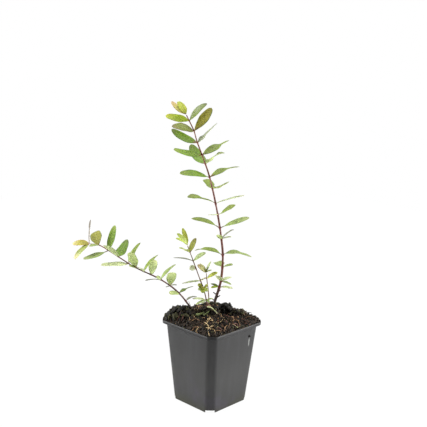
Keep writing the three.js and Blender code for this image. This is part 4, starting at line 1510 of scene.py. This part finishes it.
def main_stem() -> Stem:
    """Describe the tall stem, which leans back over to the left."""
    t = Tint
    return Stem("main_stem", (
        (-0.3, 8, 107), (4.2, 8, 125), (9.5, 6.5, 147), (11, 4.5, 175), (8.5, 3, 200),
        (2, 1, 236), (-8, -1, 276), (-22, -3, 313), (-26.5, -4, 327), (-35, -6, 344)), 1.6, 0.6, (
        Pair(33.5, (Leaf(-30, 4, 17, t.MIST, lean=13), Leaf(165, 12, 10, t.DEEP, lean=23),
                    Leaf(-165, -6, 9.5, t.LIME, wide=0.4, lean=28))),
        Pair(41, (Leaf(39, 7, 16, t.SAGE), Leaf(-120, 48, 12, t.MIST, wide=0.8, lean=0, blunt=4),
                  Leaf(-35, -6, 14, t.HAZE))),
        Pair(59, (Leaf(-52, 21, 19, t.HAZE, lean=26), Leaf(108, -3, 24, t.HAZE, wide=0.5, blunt=3.6))),
        Pair(74, (Leaf(-26, 4, 36, t.HAZE, lean=14, arch=0.11, crest=0.36, twist=-24, start=0.36, stop=0.6,
                       shoulder=0.3, neck=0.06),
                  Leaf(159, 3, 35, lean=5, arch=0.11, hook=-0.03, twist=-18, start=0.68, stop=0.84,
                       neck=0.08))),
        Pair(94, (Leaf(52, 17, 24, t.GREY, lean=-26, twist=20, start=0.75, stop=0.9),
                  Leaf(-118, 46, 9, t.PALE, wide=0.7, lean=4, blunt=4), Leaf(-14, 16, 12, t.SAGE, lean=12),
                  Leaf(157, 33, 6.5, t.PALE, wide=0.6, lean=26))),
        Pair(107.5, (Leaf(-15, 23, 37, t.HAZE, lean=18, arch=0.02, crest=0.4, neck=0.14, blunt=3),
                     Leaf(157, 13, 36.5, lean=5, crest=0.4, hook=-0.02, neck=0.16, blunt=4))),
        Pair(124, (Leaf(57, 11, 34, lean=-25, arch=-0.07, twist=19, start=0.4, stop=0.66,
                        shoulder=0.7, blunt=4),
                   Leaf(-112, 10.5, 28, t.SAGE, wide=0.25, lean=-8, arch=0.0))),
        Pair(137.5, (Leaf(-18, 20, 36, t.SAGE, wide=0.28, lean=0, arch=0.02, crest=0.3),
                     Leaf(159, 9, 35, lean=-9, crest=0.28, twist=23, start=0.5, stop=0.74,
                          shoulder=0.72, blunt=4, neck=0.05))),
        Pair(156, (Leaf(-56, 22, 34, lean=-24, arch=-0.04, twist=30, start=0.2, stop=0.42),
                   Leaf(106, 7, 34, wide=0.28, shoulder=0.22, blunt=4))),
        Pair(169.5, (Leaf(17, 18, 37, lean=15, arch=0.06, hook=-0.01, twist=-22, stop=0.7),
                     Leaf(-157, 9, 36.5, t.FRESH, lean=28, blunt=3.6, neck=0.07))),
        Pair(186, (Leaf(-51, 28, 36, t.HAZE, lean=-16, twist=31, start=0.2, stop=0.36, flick=-36),
                   Leaf(124, 31, 36, t.BRIGHT, wide=0.4, arch=-0.1))),
        Pair(197, (Leaf(21, 26, 36, lean=28, arch=0.0, twist=-36, start=0.48, stop=0.74,
                        shoulder=0.45),
                   Leaf(-152, 12, 36, t.FRESH, lean=32, arch=-0.04, blunt=3.6))),
        Pair(212, (Leaf(-27, 45, 34, t.SMOKE, lean=-22, arch=0.0, twist=28, start=0.22, stop=0.42),
                   Leaf(157, 23, 35, t.BRIGHT, wide=0.3, lean=36, arch=-0.07, hook=-0.01))),
        Pair(226, (Leaf(31, 49, 33.5, t.OLIVE, wide=0.37, lean=36, arch=-0.02, shoulder=0.6, blunt=1.7),
                   Leaf(-142, 12, 31, t.DUSK, wide=0.37, lean=52, blunt=1.6))),
        Pair(239, (Leaf(-29, 42, 30, t.DARK, wide=0.38, lean=48, blunt=1.5),
                   Leaf(159, 8, 29, t.LIME, lean=46, arch=0.0))),
        Pair(None, (Leaf(155, 35, 22.8, t.LEMON, wide=0.3, lean=32, arch=-0.05),
                    Leaf(126, 37.5, 21, t.YOLK, wide=0.4))),
    ), Bark((58, 44, 34), (106, 58, 48), (136, 84, 60), (116, 38, 36)),
        ((14, 150, 5.0), (18, 5, 6.5), (19, -50, 5.0), (22.5, 175, 5.5), (26, 20, 4.5)))


def left_stem() -> Stem:
    """Describe the stem that leans far out to the left."""
    t = Tint
    return Stem("left_stem", (
        (-18.5, 1, 104.5), (-39.5, -3, 133), (-62, -7, 151), (-90.5, -12, 166), (-111, -14, 179.4),
        (-131, -16, 192.4), (-142, -18, 194.7)), 1.05, 0.5, (
        Pair(23, (Leaf(36, 7, 16, t.GREY, lean=0, arch=0.12),)),
        Pair(36, (Leaf(32, 15, 20, t.DEEP, lean=14, twist=-30, start=0.28, stop=0.55),
                  Leaf(-129, 12, 17, t.PALE, wide=0.45, lean=35, blunt=4))),
        Pair(50.5, (Leaf(84, 27, 22, t.PALE, wide=0.53, shoulder=0.5, blunt=3),
                    Leaf(-35, 14, 10, t.GREY, wide=0.25), Leaf(-140, -4, 6, t.GREY))),
        Pair(64, (Leaf(46, 30, 27.5, t.HAZE, lean=-8), Leaf(-140, 8, 22, t.GREY, lean=-4),
                  Leaf(-165, 35, 7, t.PALE, wide=0.7, lean=50))),
        Pair(78, (Leaf(-56, 55, 24, t.PALE, wide=0.46, lean=85, blunt=3.5),)),
        Pair(86.5, (Leaf(56, 28, 30, lean=-14), Leaf(-110, 28, 22, t.SAGE, lean=28))),
        Pair(97.5, (Leaf(-112, 56, 26, t.PALE, wide=0.4, blunt=3),
                    Leaf(-150, 22, 9, t.PALE, wide=0.45, lean=40))),
        Pair(107, (Leaf(65, 36, 32, lean=-14), Leaf(-151, 3.5, 34, t.MIST, lean=16, arch=0.0))),
        Pair(121.5, (Leaf(73, 28, 30, t.BRIGHT, wide=0.42, lean=20, arch=-0.02, shoulder=0.24, blunt=1.4),
                     Leaf(-133, 38, 28, t.SAGE, lean=-8))),
        Pair(135, (Leaf(78, 48, 33, t.FRESH, wide=0.28, arch=0.0, blunt=2),
                   Leaf(-145, -11, 32, t.HAZE, lean=15, arch=-0.02, neck=0.15, blunt=3))),
        Pair(148, (Leaf(108, 20, 27, t.KHAKI, wide=0.52, shoulder=0.5, blunt=2.6),
                   Leaf(-135, 2, 13, t.HAZE, wide=0.5, lean=20))),
        Pair(None, (Leaf(165, -6, 21.3, t.AMBER, wide=0.36, lean=36, blunt=2.8),
                    Leaf(-150, -42, 24.8, t.PEAR, lean=20, blunt=3.4),
                    Leaf(92, 58, 29, t.DRY, wide=0.16, lean=80, neck=0.55))),
    ), Bark((56, 40, 34), (92, 54, 44), (150, 96, 74), (96, 42, 40)))


def middle_stem() -> Stem:
    """Describe the thinner shoot between the two long stems."""
    t = Tint
    return Stem("middle_stem", (
        (-3.8, 3, 106), (-9, 1, 132), (-17, -3, 155.5), (-24, -6, 175), (-30.5, -9, 193)), 0.85, 0.5, (
        Pair(18.5, (Leaf(-177, 5, 16, t.MIST), Leaf(-150, -16, 14, t.PALE),
                    Leaf(-125, -12, 9, t.SAGE, lean=20),
                    Leaf(-60, -8, 8, t.HAZE, lean=20), Leaf(20, 5, 8, t.HAZE, lean=20))),
        Pair(34, (Leaf(-125, 40, 9, t.MUSTARD, wide=0.8, blunt=4),
                  Leaf(-40, 38, 8, t.CITRON, wide=0.8, lean=40),
                  Leaf(165, 38, 8, t.CITRON, wide=0.7, lean=40), Leaf(-95, -30, 7, t.APPLE, wide=0.9),
                  Leaf(-35, -20, 6.5, t.PALE, wide=0.8, lean=30),
                  Leaf(178, -15, 6, t.PALE, wide=0.8, lean=40))),
        Pair(45, (Leaf(176, -12, 22, t.SAGE, lean=6, arch=0.0, twist=-10, start=0.2, stop=0.4),
                  Leaf(-61, 28, 14, t.TAWNY))),
        Pair(61.5, (Leaf(176, 5, 7.5, t.PEARL, wide=0.85, lean=65, blunt=4),)),
        Pair(72, (Leaf(165, 3, 24, t.GREY, lean=-12, arch=0.04),
                  Leaf(-25, 36, 19.5, t.HAZE, wide=0.36, lean=42))),
        Pair(83.5, (Leaf(-131, 25, 20, t.APPLE, lean=-18, twist=32, stop=0.55),
                    Leaf(66, 43, 20, t.MUSTARD, blunt=2))),
        Pair(None, (Leaf(-143, 31, 19, t.APPLE, lean=28), Leaf(120, 54, 21.5, t.CITRON, wide=0.26, blunt=2),
                    Leaf(177, 47, 18, t.APPLE, wide=0.36, lean=35))),
    ), Bark((168, 116, 98), (98, 70, 54), (118, 100, 64), (106, 54, 46)))


def inner_stem() -> Stem:
    """Describe the shortest shoot, close to the middle one."""
    t = Tint
    return Stem("inner_stem", (
        (-3.2, 5.8, 106), (-4.8, 6, 131), (-7.3, 6, 149), (-8, 6, 156)), 0.7, 0.5, (
        Pair(44, (Leaf(-22, 33, 16, t.CITRON, wide=0.4, lean=38), Leaf(121, -27, 12, t.MUSTARD))),
        Pair(None, (Leaf(-160, 40, 15, t.TAWNY, wide=0.5, lean=55), Leaf(150, 46, 13, t.PEARL),
                    Leaf(37, 62, 14, t.PALE, wide=0.25), Leaf(-38, 28, 9, t.APPLE, lean=30))),
    ), Bark((180, 132, 112), (128, 90, 70), (138, 114, 74), (118, 62, 52)))


@dataclass
class Studio:
    """The camera, a pale floor and soft studio light.

    ambient is the strength of the room's light, and front the share of it that is left behind the camera.
    floor_shade is the floor's brightness for its light on the plant, and the camera sees the floor as the
    sum of floor_shown, which the light falls on, and floor_glow.
    """

    eye: Place = (-4.8, -910.2, 429.5)
    pitch: float = 12.347
    pan: float = 0.210
    roll: float = 1.5695
    lens: float = 67.58
    front: float = 0.03
    ambient: float = 0.3
    side_power: float = 42.0
    top_power: float = 18.0
    aim_height: float = 0.15
    side_place: Place = (1300, 60, 450)
    side_size: float = 1.0
    top_place: Place = (0, 300, 1700)
    top_size: float = 1.5
    floor_half: float = 1.2
    floor_shade: float = 0.6
    floor_shown: float = 0.03
    floor_glow: float = 0.975

    def camera(self) -> None:
        """Place the camera at the view that the sizes were read from."""
        data = bpy.data.cameras.new("camera")
        data.lens, data.sensor_width, data.clip_start = self.lens, 36.0, 0.01
        camera = placed("camera", data)
        turn = Matrix.Rotation(PLANT.turn, 4, "Z")
        for degrees, axis in ((-self.pan, "Z"), (90 - self.pitch, "X"), (self.roll, "Z")):
            turn = turn @ Matrix.Rotation(math.radians(degrees), 4, axis)
        place = Vector(PLANT.to_part(np.array(self.eye)) * MM)
        camera.matrix_world = Matrix.Translation(place) @ turn
        bpy.context.scene.camera = camera

    def lamp(self, name: str, place: Place, power: float, size: float) -> None:
        """Hang a square lamp that faces the plant.

        Args:
            name: Name of the lamp.
            place: Its place in the plant's frame.
            power: Its power in watts.
            size: Its breadth in metres.
        """
        data = bpy.data.lights.new(name, "AREA")
        data.energy, data.size = power, size
        lamp = placed(name, data)
        lamp.location = Vector(PLANT.to_part(np.array(place)) * MM)
        aim = Vector((0.0, 0.0, self.aim_height)) - lamp.location
        lamp.rotation_euler = aim.to_track_quat("-Z", "Y").to_euler()

    def world(self) -> None:
        """Light the scene from a pale room that is darker behind the camera."""
        world = bpy.data.worlds.new("studio")
        world.use_nodes = True
        world.node_tree.nodes.clear()
        graph = Graph(world.node_tree)
        ray = graph.node("ShaderNodeTexCoord").outputs["Generated"]
        front = tuple(PLANT.to_part(np.array([0.0, -1.0, 0.0])))
        dot = graph.node("ShaderNodeVectorMath", {0: ray, 1: front}, operation="DOT_PRODUCT")
        dim = graph.times(graph.step(dot.outputs["Value"], 0.25, 0.85), 1 - self.front)
        room = graph.times(graph.rest(dim), self.ambient)
        seen = graph.node("ShaderNodeLightPath").outputs["Is Camera Ray"]
        strength = graph.plus(graph.times(seen, graph.rest(room)), room)
        back = graph.node("ShaderNodeBackground", {"Color": (1, 1, 1, 1), "Strength": strength})
        graph.node("ShaderNodeOutputWorld", {"Surface": back.outputs[0]})
        bpy.context.scene.world = world

    def floor(self) -> None:
        """Lay a wide pale floor under the pot."""
        mesh = bpy.data.meshes.new("floor")
        wide, low = self.floor_half, -0.0001
        corners = [(-wide, -wide, low), (wide, -wide, low), (wide, wide, low), (-wide, wide, low)]
        mesh.from_pydata(corners, [], [(0, 1, 2, 3)])
        made, graph = new_material("pale_floor")
        seen = graph.node("ShaderNodeLightPath").outputs["Is Camera Ray"]
        bounce, shown = ((part, part, part, 1.0) for part in (self.floor_shade, self.floor_shown))
        matte = graph.node("ShaderNodeBsdfDiffuse", {"Color": graph.mix(seen, bounce, shown)})
        strength = graph.times(seen, self.floor_glow)
        glow = graph.node("ShaderNodeEmission", {"Color": (1, 1, 1, 1), "Strength": strength})
        both = graph.node("ShaderNodeAddShader", {0: matte.outputs[0], 1: glow.outputs[0]})
        graph.node("ShaderNodeOutputMaterial", {"Surface": both.outputs[0]})
        mesh.materials.append(made)
        placed("floor", mesh)

    def build(self) -> None:
        """Set up the view, the floor and the light."""
        self.camera()
        self.world()
        self.floor()
        x, y, z = self.side_place
        self.lamp("left_lamp", (-x, y, z), self.side_power, self.side_size)
        self.lamp("right_lamp", (x, y, z), self.side_power, self.side_size)
        self.lamp("top_lamp", self.top_place, self.top_power, self.top_size)
        bpy.context.scene.view_settings.view_transform = "Standard"


def corners(bounds: tuple[Vector, Vector]) -> list[list[float]]:
    """Give a box's two corners as plain lists."""
    return [[float(part) for part in corner] for corner in bounds]


def main() -> None:
    """Load the frame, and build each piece."""
    logging.basicConfig(level=logging.INFO, format="%(message)s")
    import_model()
    Studio().build()
    groups = PatternGroups()
    Pot().build()
    Compost(groups).build()
    for stem in (main_stem(), left_stem(), middle_stem(), inner_stem()):
        stem.build(groups)


if __name__ == "__main__":
    main()
